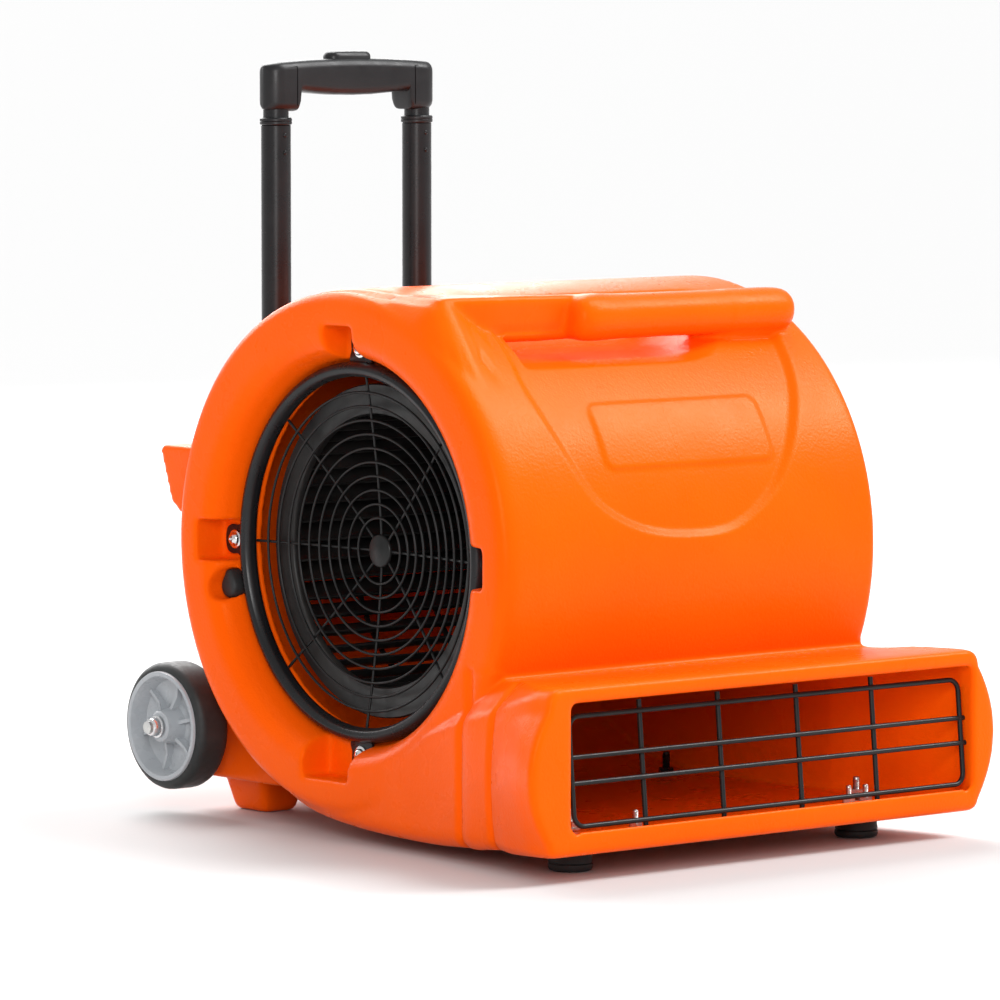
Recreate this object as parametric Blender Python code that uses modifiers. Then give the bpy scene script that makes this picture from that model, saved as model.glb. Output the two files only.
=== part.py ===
"""Air mover: rotomoulded snail blower with a caged side intake, a low outlet duct and a trolley handle.

Lengths are in millimetres and MM turns them to metres. X runs along the drum, -Y is the outlet side, +Z is up.
"""

import math

import bmesh
import bpy
from mathutils import Matrix, Vector

MM = 0.001
TAU = 2.0 * math.pi

# Drum and its intake lip
DRUM_Y = 8.0
DRUM_Z = 224.0
DRUM_R = 204.0
DRUM_STEPS = 64
DRUM_LEFT = -190.0
DRUM_RIGHT = 192.0
WALL = 6.0
CAVITY_R = DRUM_R - WALL
CAVITY_LEFT = -151.0
CAVITY_RIGHT = DRUM_RIGHT - WALL
CREST_R = 172.0
SEAT_X = -156.0
SEAT_R = 148.6
INTAKE_R = 139.5

# Outlet duct
FACE_Y = -283.0
FACE_HALF = 220.0
FACE_BOTTOM = 21.7
FACE_TOP = 145.0
FACE_BULGE = 17.5
MOUTH_LEFT = -198.0
MOUTH_RIGHT = 213.0
MOUTH_BOTTOM = 38.0
MOUTH_TOP = 133.5

# Moulded carrying bar and the finger well behind it
BAR_Y = -105.0
BAR_Z = 406.0
BAR_LEFT = -150.0
BAR_RIGHT = 176.0
BAR_HEIGHT = 35.0
BAR_DEPTH = 38.0
WELL_LEFT = -112.0
WELL_RIGHT = 150.0

# Basin and plaque on the drum's front
BASIN_DEPTH = 4.0
PLAQUE_PROUD = 2.4

# Rear beam, axle block and skids
BEAM_HALF = 176.0
BEAM_TAPER = 14.0
BEAM_BACK = 250.0
BEAM_TOP = 295.0
BEAM_BOTTOM = 240.0
BLOCK_HALF = 146.0
BLOCK_BACK = 257.0
BLOCK_TOP = 112.0
BLOCK_BOTTOM = 28.0
SKID_X = 104.0

# Intake ring and guard
RING_OUT_R = 148.0
RING_IN_R = 136.0
RING_FRONT = -171.0
RING_SCREW_R = 158.0
PLUG_R = 157.5
PLUG_TURN = -13.5
PLUG_FLOOR = -163.0
TAB_HALF = 12.0
GUARD_RINGS = 10
GUARD_FIRST_R = 25.6
GUARD_PITCH = 10.9
GUARD_HUB_X = -144.5
GUARD_RIM_X = -160.0
GUARD_WIRE = 3.2

# Outlet guard
WIRE_R = 2.0
OUT_GUARD_Y = -277.0
OUT_GUARD_LEAN = 7.5
OUT_COLUMNS = (-118.7, -40.0, 40.0, 118.7)
OUT_ROWS = (41.4, 73.2, 92.5, 122.5)
OUT_LEFT = -191.0
OUT_RIGHT = 208.5

# Impeller and motor
WHEEL_R = 130.0
WHEEL_EYE_R = 106.0
WHEEL_LEFT = -146.0
WHEEL_RIGHT = 74.0
BLADES = 24
SHAFT_R = 6.0
MOTOR_R = 76.0
MOTOR_LEFT = 86.0
PLATE_R = 104.0
PLATE_X = DRUM_RIGHT + 0.2
PLATE_T = 3.0

# Trolley handle
TUBE_X = 73.2
TUBE_Y = 228.5
OUTER_R = 12.0
OUTER_BORE = 10.5
OUTER_FOOT = 81.0
OUTER_TOP = 549.0
INNER_R = 10.3
INNER_BORE = 9.0
INNER_FOOT = 130.0
INNER_TOP = 592.0
GRIP_DEEP = 13.0
GRIP_TOP = 602.0
BUTTON_HALF = 22.0
BUTTON_TOP = 608.0

# Wheels
AXLE_Y = 231.8
AXLE_Z = 70.7
AXLE_R = 5.0
AXLE_HALF = 203.0
WHEEL_IN = 158.0
WHEEL_OUT = 190.0
RIM_R = 44.0
TYRE_R = 51.0

# Feet
FOOT_X = 147.0
FOOT_Y = -221.0
FOOT_R = 17.0
FOOT_H = 16.6
BOLT_R = 3.0

# Controls on the right wall
PANEL_Y = 106.0
PANEL_Z = 334.0
PANEL_HALF = 26.0
GLAND_Y = 122.0
GLAND_Z = 112.0

PARTS = bpy.data.collections.new("air_mover")
CUTTERS = bpy.data.collections.new("cutters")


def clear_scene():
    for obj in list(bpy.data.objects):
        bpy.data.objects.remove(obj, do_unlink=True)
    for collection in (PARTS, CUTTERS):
        bpy.context.scene.collection.children.link(collection)
    bpy.context.scene.unit_settings.system = "METRIC"


def finish(name, colour, rough, metal=0.0):
    """A plain Principled material."""
    made = bpy.data.materials.new(name)
    made.use_nodes = True
    shader = made.node_tree.nodes["Principled BSDF"]
    shader.inputs["Base Color"].default_value = (*colour, 1.0)
    shader.inputs["Roughness"].default_value = rough
    shader.inputs["Metallic"].default_value = metal
    made.diffuse_color = (*colour, 1.0)
    return made


clear_scene()
ORANGE = finish("orange_shell", (1.0, 0.13, 0.0), 0.35)
BLACK_STEEL = finish("black_painted_steel", (0.02, 0.02, 0.02), 0.3)
WIRE_COAT = finish("black_coated_wire", (0.015, 0.015, 0.015), 0.4)
CHROME = finish("plated_screws", (0.8, 0.8, 0.8), 0.15, 1.0)
ZINC = finish("zinc_steel", (0.6, 0.6, 0.6), 0.35, 1.0)
RUBBER = finish("black_rubber", (0.02, 0.02, 0.02), 0.8)
TYRE = finish("tyre_rubber", (0.025, 0.025, 0.027), 0.7)
GREY = finish("grey_wheel_plastic", (0.38, 0.4, 0.42), 0.4)
BLACK_PLASTIC = finish("black_plastic", (0.02, 0.02, 0.022), 0.45)
FAN_PLASTIC = finish("impeller_plastic", (0.02, 0.02, 0.02), 0.5)
MOTOR_PAINT = finish("motor_paint", (0.05, 0.05, 0.05), 0.4)
COPPER = finish("stator_windings", (0.35, 0.16, 0.07), 0.4, 0.6)
CORE = finish("rotor_core_steel", (0.4, 0.4, 0.42), 0.35, 1.0)
GREY_CAN = finish("capacitor_can", (0.7, 0.7, 0.72), 0.3, 1.0)


def as_object(name, mesh, material=None, collection=PARTS, smooth=30.0):
    obj = bpy.data.objects.new(name, mesh)
    collection.objects.link(obj)
    if material:
        mesh.materials.append(material)
    if collection is CUTTERS:
        obj.hide_render = True
        obj.display_type = "WIRE"
    if smooth:
        for polygon in mesh.polygons:
            polygon.use_smooth = True
        mesh.set_sharp_from_angle(angle=math.radians(smooth))
    return obj


def mesh_from(name, points, faces):
    """A closed mesh from points in millimetres, with its faces turned outwards."""
    mesh = bpy.data.meshes.new(name)
    mesh.from_pydata([Vector(p) * MM for p in points], [], faces)
    work = bmesh.new()
    work.from_mesh(mesh)
    bmesh.ops.recalc_face_normals(work, faces=work.faces)
    work.to_mesh(mesh)
    work.free()
    return mesh


def axis_frame(axis):
    """Along, side and up unit vectors for an axis name."""
    return {
        "X": (Vector((1, 0, 0)), Vector((0, 1, 0)), Vector((0, 0, 1))),
        "Y": (Vector((0, 1, 0)), Vector((0, 0, 1)), Vector((1, 0, 0))),
        "Z": (Vector((0, 0, 1)), Vector((1, 0, 0)), Vector((0, 1, 0))),
    }[axis]


def turned(name, profile, centre, axis="X", steps=48, loop=False):
    """A turned solid. profile lists (along, radius). A loop profile makes a ring, and the others start and end at 0."""
    along, side, up = axis_frame(axis)
    centre = Vector(centre)
    points = []
    rows = []
    for reach, radius in profile:
        if radius < 1e-6:
            rows.append([len(points)])
            points.append(centre + along * reach)
            continue
        row = []
        for k in range(steps):
            angle = TAU * k / steps
            row.append(len(points))
            points.append(centre + along * reach + side * (radius * math.cos(angle)) + up * (radius * math.sin(angle)))
        rows.append(row)
    faces = []
    pairs = list(zip(rows, rows[1:]))
    if loop:
        pairs.append((rows[-1], rows[0]))
    for first, second in pairs:
        for k in range(steps):
            n = (k + 1) % steps
            if len(first) == 1:
                faces.append((first[0], second[n], second[k]))
            elif len(second) == 1:
                faces.append((first[k], first[n], second[0]))
            else:
                faces.append((first[k], first[n], second[n], second[k]))
    return mesh_from(name, points, faces)


def rod(name, centre, axis, start, end, radius, steps=24):
    return turned(name, [(start, 0.0), (start, radius), (end, radius), (end, 0.0)], centre, axis, steps)


def block(name, low, high):
    points = [(x, y, z) for x in (low[0], high[0]) for y in (low[1], high[1]) for z in (low[2], high[2])]
    faces = [(0, 1, 3, 2), (4, 6, 7, 5), (0, 4, 5, 1), (2, 3, 7, 6), (0, 2, 6, 4), (1, 5, 7, 3)]
    return mesh_from(name, points, faces)


def prism(name, outline, low, high):
    """An outline of (y, z) points drawn out along X."""
    count = len(outline)
    points = [(low, y, z) for y, z in outline] + [(high, y, z) for y, z in outline]
    faces = [tuple(range(count)), tuple(range(count, 2 * count))]
    faces += [(k, (k + 1) % count, count + (k + 1) % count, count + k) for k in range(count)]
    return mesh_from(name, points, faces)


def loft(name, sections):
    """A closed solid through sections that have the same number of points."""
    count = len(sections[0])
    points = [point for section in sections for point in section]
    faces = [tuple(range(count)), tuple(range(len(points) - count, len(points)))]
    for row in range(len(sections) - 1):
        for k in range(count):
            n = (k + 1) % count
            a = row * count
            b = a + count
            faces.append((a + k, a + n, b + n, b + k))
    return mesh_from(name, points, faces)


def rounded(half_a, half_b, radius, steps=4):
    """A rounded rectangle around 0, 0."""
    outline = []
    for quarter, (sa, sb) in enumerate(((1, 1), (-1, 1), (-1, -1), (1, -1))):
        for k in range(steps + 1):
            angle = TAU * (quarter + k / steps) / 4.0
            a = sa * (half_a - radius) + radius * math.cos(angle)
            b = sb * (half_b - radius) + radius * math.sin(angle)
            outline.append((a, b))
    return outline


def joined(name, meshes):
    """One mesh that holds several closed pieces."""
    work = bmesh.new()
    for mesh in meshes:
        work.from_mesh(mesh)
    made = bpy.data.meshes.new(name)
    work.to_mesh(made)
    work.free()
    return made


def fused(name, meshes, material, smooth=30.0):
    """Overlapping closed pieces united into a single body."""
    whole = as_object(name, meshes[0], material, PARTS, 0)
    other = as_object(name + "_joined", joined(name + "_joined", meshes[1:]), None, CUTTERS, 0)
    union = whole.modifiers.new("unite", "BOOLEAN")
    union.object = other
    union.operation = "UNION"
    union.solver = "EXACT"
    union.use_self = True
    return settled(whole, smooth)


def settled(obj, smooth=30.0):
    """Replaces the object's mesh with what its modifiers make."""
    bpy.context.view_layer.update()
    made = bpy.data.meshes.new_from_object(obj.evaluated_get(bpy.context.evaluated_depsgraph_get()))
    helpers = [m.object for m in obj.modifiers if m.type == "BOOLEAN"]
    obj.modifiers.clear()
    obj.data = made
    for helper in helpers:
        bpy.data.objects.remove(helper, do_unlink=True)
    work = bmesh.new()
    work.from_mesh(made)
    bmesh.ops.remove_doubles(work, verts=work.verts, dist=0.0005 * MM)
    work.to_mesh(made)
    work.free()
    for polygon in made.polygons:
        polygon.use_smooth = True
    made.set_sharp_from_angle(angle=math.radians(smooth))
    return obj


def cut(obj, meshes, label):
    """Subtracts closed, separate cutters in one Boolean."""
    cutter = as_object(label, joined(label, meshes), None, CUTTERS, 0)
    boolean = obj.modifiers.new(label, "BOOLEAN")
    boolean.object = cutter
    boolean.operation = "DIFFERENCE"
    boolean.solver = "EXACT"
    boolean.use_self = True
    return settled(obj)


def arc(centre, radius, start, end, steps):
    """Points (y, z) on an arc. Angles are in degrees from +Y towards +Z."""
    found = []
    for k in range(steps + 1):
        angle = math.radians(start + (end - start) * k / steps)
        found.append((centre[0] + radius * math.cos(angle), centre[1] + radius * math.sin(angle)))
    return found


# ---------------------------------------------------------------- shell


def duct_section(y, half, bottom, ridge, top, shoulder, corner=9.0, bulge=0.0):
    """One section of the outlet body: bowed cheeks up to a ridge, then a sloping shoulder to the flat top."""
    foot = [(half - corner, bottom), (half - 0.3 * corner, bottom + 0.3 * corner), (half, bottom + corner)]

    def bowed(high):
        low = bottom + corner
        shares = [step / 6.0 for step in range(1, 6)]
        return [(half + 4.0 * bulge * s * (1.0 - s), low + (high - low) * s) for s in shares] + [(half, high)]

    right = foot + bowed(top - 9.0) + [(half - 2.5, top - 3.0), (half - 8.0, top)]
    left = foot + bowed(ridge - 6.0) + [(half - 3.0, ridge), (half - shoulder, top)]
    return [(x, y, z) for x, z in right] + [(-x, y, z) for x, z in reversed(left)]


def drum_profile():
    """The drum from its right wall to the crest of the intake lip, then down the dish to the middle."""
    right = [(DRUM_RIGHT, 0.0), (DRUM_RIGHT, 199.0), (DRUM_RIGHT - 1.5, 202.3), (DRUM_RIGHT - 5.5, DRUM_R)]
    lip = [(-170.0, DRUM_R), (-179.0, 203.4), (-185.0, 201.4), (-188.6, 197.6), (DRUM_LEFT, 191.0)]
    return right + lip + [(DRUM_LEFT, CREST_R)] + dish_profile()


def dish_profile():
    return [(-189.0, 164.0), (-184.5, 158.0), (-172.0, 152.0), (SEAT_X, SEAT_R), (SEAT_X, 0.0)]


def bar_outline(y, z, depth, height, corner):
    return [(y + a, z + b) for a, b in rounded(depth / 2.0, height / 2.0, corner, 4)]


def bar_body():
    """The carrying bar with a domed free end."""
    sections = []
    for x, scale in ((BAR_LEFT, 1.0), (BAR_RIGHT - 14.0, 1.0), (BAR_RIGHT - 5.0, 0.9), (BAR_RIGHT, 0.66)):
        outline = rounded(scale * BAR_DEPTH / 2.0, scale * BAR_HEIGHT / 2.0, scale * 15.0, 3)
        sections.append([(x, BAR_Y + a, BAR_Z + b) for a, b in outline])
    return loft("bar", sections)


def beam_body():
    """The moulded beam behind the drum that holds the trolley tubes. Its ends lean in towards the bottom."""
    outline = [(186.0, BEAM_TOP), (BEAM_BACK - 4.0, BEAM_TOP), (BEAM_BACK, BEAM_TOP - 4.0)]
    outline += [(BEAM_BACK, BEAM_BOTTOM + 10.0), (BEAM_BACK - 8.0, BEAM_BOTTOM), (186.0, BEAM_BOTTOM - 5.0)]
    slope = BEAM_TAPER / (BEAM_TOP - BEAM_BOTTOM)
    ends = []
    for side in (-1, 1):
        ends.append([(side * (BEAM_HALF - slope * (BEAM_TOP - z)), y, z) for y, z in outline])
    return loft("beam", ends)


def block_body():
    """The block that carries the axle and the foot of each trolley tube."""
    outline = [(118.0, BLOCK_TOP), (118.0, 44.0), (136.0, BLOCK_BOTTOM), (BLOCK_BACK - 8.0, BLOCK_BOTTOM)]
    outline += [(BLOCK_BACK, BLOCK_BOTTOM + 8.0), (BLOCK_BACK, BLOCK_TOP - 8.0), (BLOCK_BACK - 8.0, BLOCK_TOP)]
    return prism("axle_block", outline, -BLOCK_HALF, BLOCK_HALF)


def skid_body(x):
    """A moulded rear skid that stands on the floor."""
    sections = []
    for z, grow in ((BLOCK_BOTTOM + 4.0, 1.0), (3.0, 0.72), (0.0, 0.6)):
        outline = rounded(24.0 * grow, 30.0 * grow, 8.0 * grow, 3)
        sections.append([(x + a, 205.0 + b, z) for a, b in outline])
    return loft("skid", sections)


def cavity_outline():
    """The inside of the drum and duct, seen from the side, with the cut-off tongue and the bulge under the well."""
    centre = (DRUM_Y, DRUM_Z)
    outline = [(-112.0, 146.0), (-118.0, 151.0), (-172.0, 153.0)]
    outline += arc(centre, CAVITY_R, 199.0, 146.0, 8)
    outline += [(-126.0, 352.0), (-78.0, 363.0), (-44.0, 377.0), (-38.0, 412.0)]
    outline += arc(centre, CAVITY_R, 99.0, -84.0, 26)
    outline += [(-60.0, 24.0), (-150.0, 26.0), (-232.0, 28.6)]
    outline += [(-232.0, 136.5), (-124.0, 136.5), (-114.0, 139.0)]
    return outline


def mouth_body():
    """The outlet opening, which widens from the drum to the face and has a raised sill."""
    sections = []
    for y, left, right, low, high, corner in (
        (-140.0, -149.0, 184.0, 27.5, 131.5, 3.0),
        (-228.0, -192.0, 203.0, 30.0, 132.5, 5.0),
        (-262.0, MOUTH_LEFT, MOUTH_RIGHT, 31.0, 134.5, 5.0),
        (-276.0, MOUTH_LEFT, MOUTH_RIGHT, 32.0, 134.5, 5.0),
        (-281.5, MOUTH_LEFT, MOUTH_RIGHT, MOUTH_BOTTOM, MOUTH_TOP, 5.0),
        (-300.0, MOUTH_LEFT, MOUTH_RIGHT, MOUTH_BOTTOM, MOUTH_TOP, 5.0),
    ):
        middle = ((left + right) / 2.0, (low + high) / 2.0)
        outline = rounded((right - left) / 2.0, (high - low) / 2.0, corner, 3)
        sections.append([(middle[0] + a, y, middle[1] + b) for a, b in outline])
    return loft("mouth", sections)


def basin_slab():
    """Cuts the U-shaped basin into the front of the drum. Its rows line up with the drum's facets."""
    edges = [(-30.0, 8.0), (-78.0, 66.0), (-97.0, 97.0), (-105.0, 116.0), (-109.0, 130.0), (-112.0, 140.0)]
    edges += [(-116.0, 148.0), (-120.0, 154.0), (-124.0, 158.0), (-127.0, 160.0), (-129.0, 161.0), (-130.0, 161.0)]
    sections = []
    for row, (left, right) in enumerate(edges):
        turn = math.radians(180.0 - 360.0 / DRUM_STEPS * (row + 1))
        floor = DRUM_R - BASIN_DEPTH * min(1.0, 0.35 + 0.35 * row)
        corners = [(left, floor), (right, floor), (right + 6.0, DRUM_R + 30.0), (left - 6.0, DRUM_R + 30.0)]
        sections.append([(x, DRUM_Y + r * math.cos(turn), DRUM_Z + r * math.sin(turn)) for x, r in corners])
    return loft("basin", sections)


def shell():
    cheeks = [
        duct_section(FACE_Y, FACE_HALF - 1.0, FACE_BOTTOM + 1.0, FACE_TOP - 5.0, FACE_TOP, 6.0, 5.0, FACE_BULGE - 1.5),
        duct_section(-280.0, FACE_HALF + 0.6, FACE_BOTTOM - 1.5, FACE_TOP - 4.0, FACE_TOP + 1.0, 7.0, 9.0, FACE_BULGE),
        duct_section(-255.0, FACE_HALF + 0.6, 18.5, 139.0, 146.0, 10.0, 9.0, 12.0),
        duct_section(-203.0, 208.0, 17.0, 124.0, 143.0, 22.0, 9.0, 3.0),
        duct_section(-154.0, 200.0, 12.5, 114.0, 139.0, 22.0),
        duct_section(-100.0, 193.0, 9.5, 96.0, 130.0, 18.0),
        duct_section(-20.0, 188.0, 11.0, 74.0, 110.0, 14.0),
        duct_section(50.0, 182.0, 17.5, 68.0, 100.0, 14.0),
        duct_section(100.0, 172.0, 31.0, 72.0, 100.0, 14.0),
        duct_section(128.0, 160.0, 44.0, 78.0, 100.0, 14.0),
    ]
    drum = turned("housing_shell", drum_profile(), (0.0, DRUM_Y, DRUM_Z), "X", DRUM_STEPS)
    left_pad = block("left_pad", (BAR_LEFT, BAR_Y - 16.0, 384.0), (WELL_LEFT, -20.0, 422.0))
    right_pad = block("right_pad", (WELL_RIGHT, BAR_Y, 384.0), (BAR_RIGHT - 5.0, -48.0, 420.0))
    whole = fused(
        "housing_shell",
        [drum, loft("outlet_body", cheeks), beam_body(), block_body(), skid_body(-SKID_X), skid_body(SKID_X)],
        ORANGE,
    )
    cut(whole, [basin_slab()], "basin_cut")
    extras = as_object("bar_joined", joined("bar_joined", [bar_body(), left_pad, right_pad, plaque()]), None, CUTTERS, 0)
    union = whole.modifiers.new("carrying_bar", "BOOLEAN")
    union.object = extras
    union.operation = "UNION"
    union.solver = "EXACT"
    union.use_self = True
    settled(whole)
    cut(whole, [prism("cavity", cavity_outline(), CAVITY_LEFT, CAVITY_RIGHT), mouth_body()], "air_path")
    centre = (0.0, DRUM_Y, DRUM_Z)
    well = [(-160.0, 350.0), (-120.0, 367.0), (-75.0, 373.0), (-52.0, 385.0), (-47.0, 440.0), (-160.0, 440.0)]
    trench = as_object("well", prism("well", well, WELL_LEFT, WELL_RIGHT), None, CUTTERS, 0)
    spare = as_object("bar_spared", bar_body(), None, CUTTERS, 0)
    keep = trench.modifiers.new("bar_spared", "BOOLEAN")
    keep.object = spare
    keep.operation = "DIFFERENCE"
    keep.solver = "EXACT"
    settled(trench)
    cut(whole, [trench.data], "finger_well")
    bpy.data.objects.remove(trench, do_unlink=True)
    dish = [(-260.0, 0.0), (-260.0, CREST_R), (DRUM_LEFT, CREST_R)] + dish_profile()
    cut(whole, [turned("dish", dish, centre, "X", DRUM_STEPS)], "dish")
    cut(whole, [rod("intake_hole", centre, "X", -158.0, -145.0, INTAKE_R, 48)], "intake_hole")
    channels = []
    for turn, (low, high) in enumerate(((-16.0, 16.0), (-16.0, 20.0), (-16.0, 16.0), (-14.0, 42.0))):
        angle = math.radians(90.0 * turn)
        channel = block("channel", (-200.0, 141.0, low), (-161.0, 182.0, high))
        channel.transform(Matrix.Rotation(angle, 4, "X"))
        channel.transform(Matrix.Translation((0.0, DRUM_Y * MM, DRUM_Z * MM)))
        channels.append(channel)
    cut(whole, channels, "tab_channels")
    cut(whole, shell_holes(), "holes")
    return whole


def plaque():
    outline = [(-70.0, 34.5), (-72.0, 20.0), (96.0, 20.0), (94.0, 34.5)]
    points = []
    for radius in (DRUM_R - 12.0, DRUM_R - BASIN_DEPTH + PLAQUE_PROUD):
        for x, angle in outline:
            turn = math.radians(180.0 - angle)
            points.append((x, DRUM_Y + radius * math.cos(turn), DRUM_Z + radius * math.sin(turn)))
        turn = math.radians(180.0 - 27.2)
        for x in (-71.0, 95.0):
            points.append((x, DRUM_Y + radius * math.cos(turn), DRUM_Z + radius * math.sin(turn)))
    faces = [(0, 4, 5, 3), (4, 1, 2, 5), (6, 9, 11, 10), (10, 11, 8, 7)]
    loop = [0, 4, 1, 2, 5, 3]
    faces += [(a, b, b + 6, a + 6) for a, b in zip(loop, loop[1:] + loop[:1])]
    return mesh_from("plaque", points, faces)


def shell_holes():
    """Bores and pockets for the fasteners, tubes, axle, motor and controls."""
    holes = []
    for turn in range(4):
        y, z = ring_point(90.0 * turn)
        holes.append(rod("screw_hole", (0.0, y, z), "X", -175.0, -149.0, 2.3, 12))
    for x in (-FOOT_X, FOOT_X):
        holes.append(rod("foot_hole", (x, FOOT_Y, 0.0), "Z", 5.0, 40.0, BOLT_R + 0.3, 16))
        holes.append(rod("clip_hole", (math.copysign(118.0, x), -262.0, 0.0), "Z", 24.0, 40.0, BOLT_R - 0.7, 16))
    for x in (-TUBE_X, TUBE_X):
        holes.append(rod("tube_hole", (x, TUBE_Y, 0.0), "Z", OUTER_FOOT - 0.5, 330.0, OUTER_R + 0.3, 24))
        holes.append(rod("clamp_hole", (x + 30.0 * (1 if x > 0 else -1), 0.0, 268.0), "Y", 226.0, 260.0, 2.8, 16))
    holes.append(rod("axle_hole", (0.0, AXLE_Y, AXLE_Z), "X", -160.0, 160.0, AXLE_R + 0.3, 20))
    holes.append(rod("motor_hole", (0.0, DRUM_Y, DRUM_Z), "X", 180.0, 200.0, MOTOR_R + 4.0, 48))
    for turn in range(4):
        angle = math.radians(45.0 + 90.0 * turn)
        y = DRUM_Y + 94.0 * math.cos(angle)
        z = DRUM_Z + 94.0 * math.sin(angle)
        holes.append(rod("plate_hole", (0.0, y, z), "X", 180.0, 200.0, 2.3, 12))
    holes.append(block("switch_hole", (180.0, PANEL_Y - 17.0, PANEL_Z - 17.0), (200.0, PANEL_Y + 17.0, PANEL_Z + 17.0)))
    holes.append(loft("plug_pocket", [teardrop(1.08, -200.0), teardrop(1.08, PLUG_FLOOR)]))
    holes.append(rod("gland_hole", (0.0, GLAND_Y, GLAND_Z), "X", 180.0, 200.0, 8.2, 24))
    return holes


def ring_point(degrees):
    angle = math.radians(degrees)
    return DRUM_Y + RING_SCREW_R * math.cos(angle), DRUM_Z + RING_SCREW_R * math.sin(angle)


# ---------------------------------------------------------------- intake


def intake_ring():
    centre = (0.0, DRUM_Y, DRUM_Z)
    curl = [(-156.3, RING_OUT_R), (-166.0, RING_OUT_R), (-170.0, RING_OUT_R - 3.0), (RING_FRONT, RING_OUT_R - 6.0)]
    curl += [(-170.0, RING_IN_R + 3.0), (-166.0, RING_IN_R), (-161.0, RING_IN_R), (-158.0, RING_IN_R + 4.0)]
    curl += [(-156.3, RING_IN_R + 4.0)]
    pieces = [turned("intake_ring", curl, centre, "X", 40, True)]
    for turn in range(4):
        y, z = ring_point(90.0 * turn)
        outline = [(-14.0, -TAB_HALF), (2.0, -TAB_HALF)]
        outline += [(2.0 + a, b) for a, b in arc((0.0, 0.0), TAB_HALF, -60.0, 60.0, 4)]
        outline += [(2.0, TAB_HALF), (-14.0, TAB_HALF)]
        tab = prism("tab", outline, -163.6, -161.4)
        tab.transform(Matrix.Rotation(math.radians(90.0 * turn), 4, "X"))
        tab.transform(Matrix.Translation((0.0, y * MM, z * MM)))
        pieces.append(tab)
    ring = fused("intake_ring", pieces, BLACK_STEEL)
    holes = []
    for turn in range(4):
        y, z = ring_point(90.0 * turn)
        holes.append(rod("tab_hole", (0.0, y, z), "X", -168.0, -156.0, 2.5, 12))
    cut(ring, holes, "tab_holes")
    return ring


def guard_depth(radius):
    """How far the intake guard is dished at a radius."""
    share = min(radius / RING_IN_R, 1.0) ** 1.6
    return GUARD_HUB_X + (GUARD_RIM_X - GUARD_HUB_X) * share


def intake_guard():
    """Concentric wires on eight spokes round a hub disc, all welded together."""
    radii = [GUARD_FIRST_R + GUARD_PITCH * k for k in range(GUARD_RINGS)] + [RING_IN_R - 1.2]
    points = []
    rows = []
    for index, radius in enumerate(radii):
        steps = 16 if index < 5 else 24
        row = []
        for k in range(steps):
            angle = TAU * k / steps
            row.append(len(points))
            x = guard_depth(radius)
            points.append((x, DRUM_Y + radius * math.cos(angle), DRUM_Z + radius * math.sin(angle)))
        rows.append(row)
    faces = []
    for inner, outer in zip(rows, rows[1:]):
        for spoke in range(8):
            a = len(inner) // 8
            b = len(outer) // 8
            start = [outer[(spoke * b + k) % len(outer)] for k in range(b + 1)]
            back = [inner[(spoke * a + k) % len(inner)] for k in range(a, -1, -1)]
            faces.append(tuple(start + back))
    mesh = bpy.data.meshes.new("intake_guard")
    mesh.from_pydata([Vector(p) * MM for p in points], [], faces)
    obj = as_object("intake_guard", mesh, WIRE_COAT, PARTS, 0)
    wires = obj.modifiers.new("wires", "WIREFRAME")
    wires.thickness = GUARD_WIRE * MM
    wires.use_even_offset = True
    wires.use_replace = True
    wires.use_boundary = True
    settled(obj)
    hub = [(-146.6, 0.0), (-146.6, 25.0), (-144.6, 26.6), (-142.6, 25.0), (-142.6, 0.0)]
    disc = as_object("hub", turned("hub", hub, (0.0, DRUM_Y, DRUM_Z), "X", 24), None, CUTTERS, 0)
    union = obj.modifiers.new("hub", "BOOLEAN")
    union.object = disc
    union.operation = "UNION"
    union.solver = "EXACT"
    union.use_self = True
    return settled(obj)


def pan_screw(name, seat, direction, centre, length, head=5.4, shank=2.0, material=CHROME):
    """A pan-head screw with its washer. The head stands on the seat and points along the direction."""
    d = direction
    profile = [
        (seat - d * length, 0.0),
        (seat - d * length, shank),
        (seat, shank),
        (seat, head + 1.4),
        (seat + d * 1.1, head + 1.4),
        (seat + d * 1.1, head),
        (seat + d * 3.4, head * 0.85),
        (seat + d * 4.6, 0.0),
    ]
    return as_object(name, turned(name, profile, centre, "X", 12), material)


def teardrop(scale, x):
    """One section of the plug under the rear tab, or of its pocket."""
    y = DRUM_Y + PLUG_R * math.cos(math.radians(PLUG_TURN))
    z = DRUM_Z + PLUG_R * math.sin(math.radians(PLUG_TURN))
    outline = arc((0.0, 0.0), 9.0, 150.0, 390.0, 8) + [(2.5, 13.5), (-2.5, 13.5)]
    return [(x, y + a * scale, z + b * scale) for a, b in outline]


def rubber_plug():
    sections = []
    for scale, rise in ((1.0, 0.2), (1.0, 10.0), (0.86, 12.4), (0.5, 13.2)):
        sections.append(teardrop(scale, PLUG_FLOOR - rise))
    return as_object("duct_plug", loft("duct_plug", sections), RUBBER)


# ---------------------------------------------------------------- outlet


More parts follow.
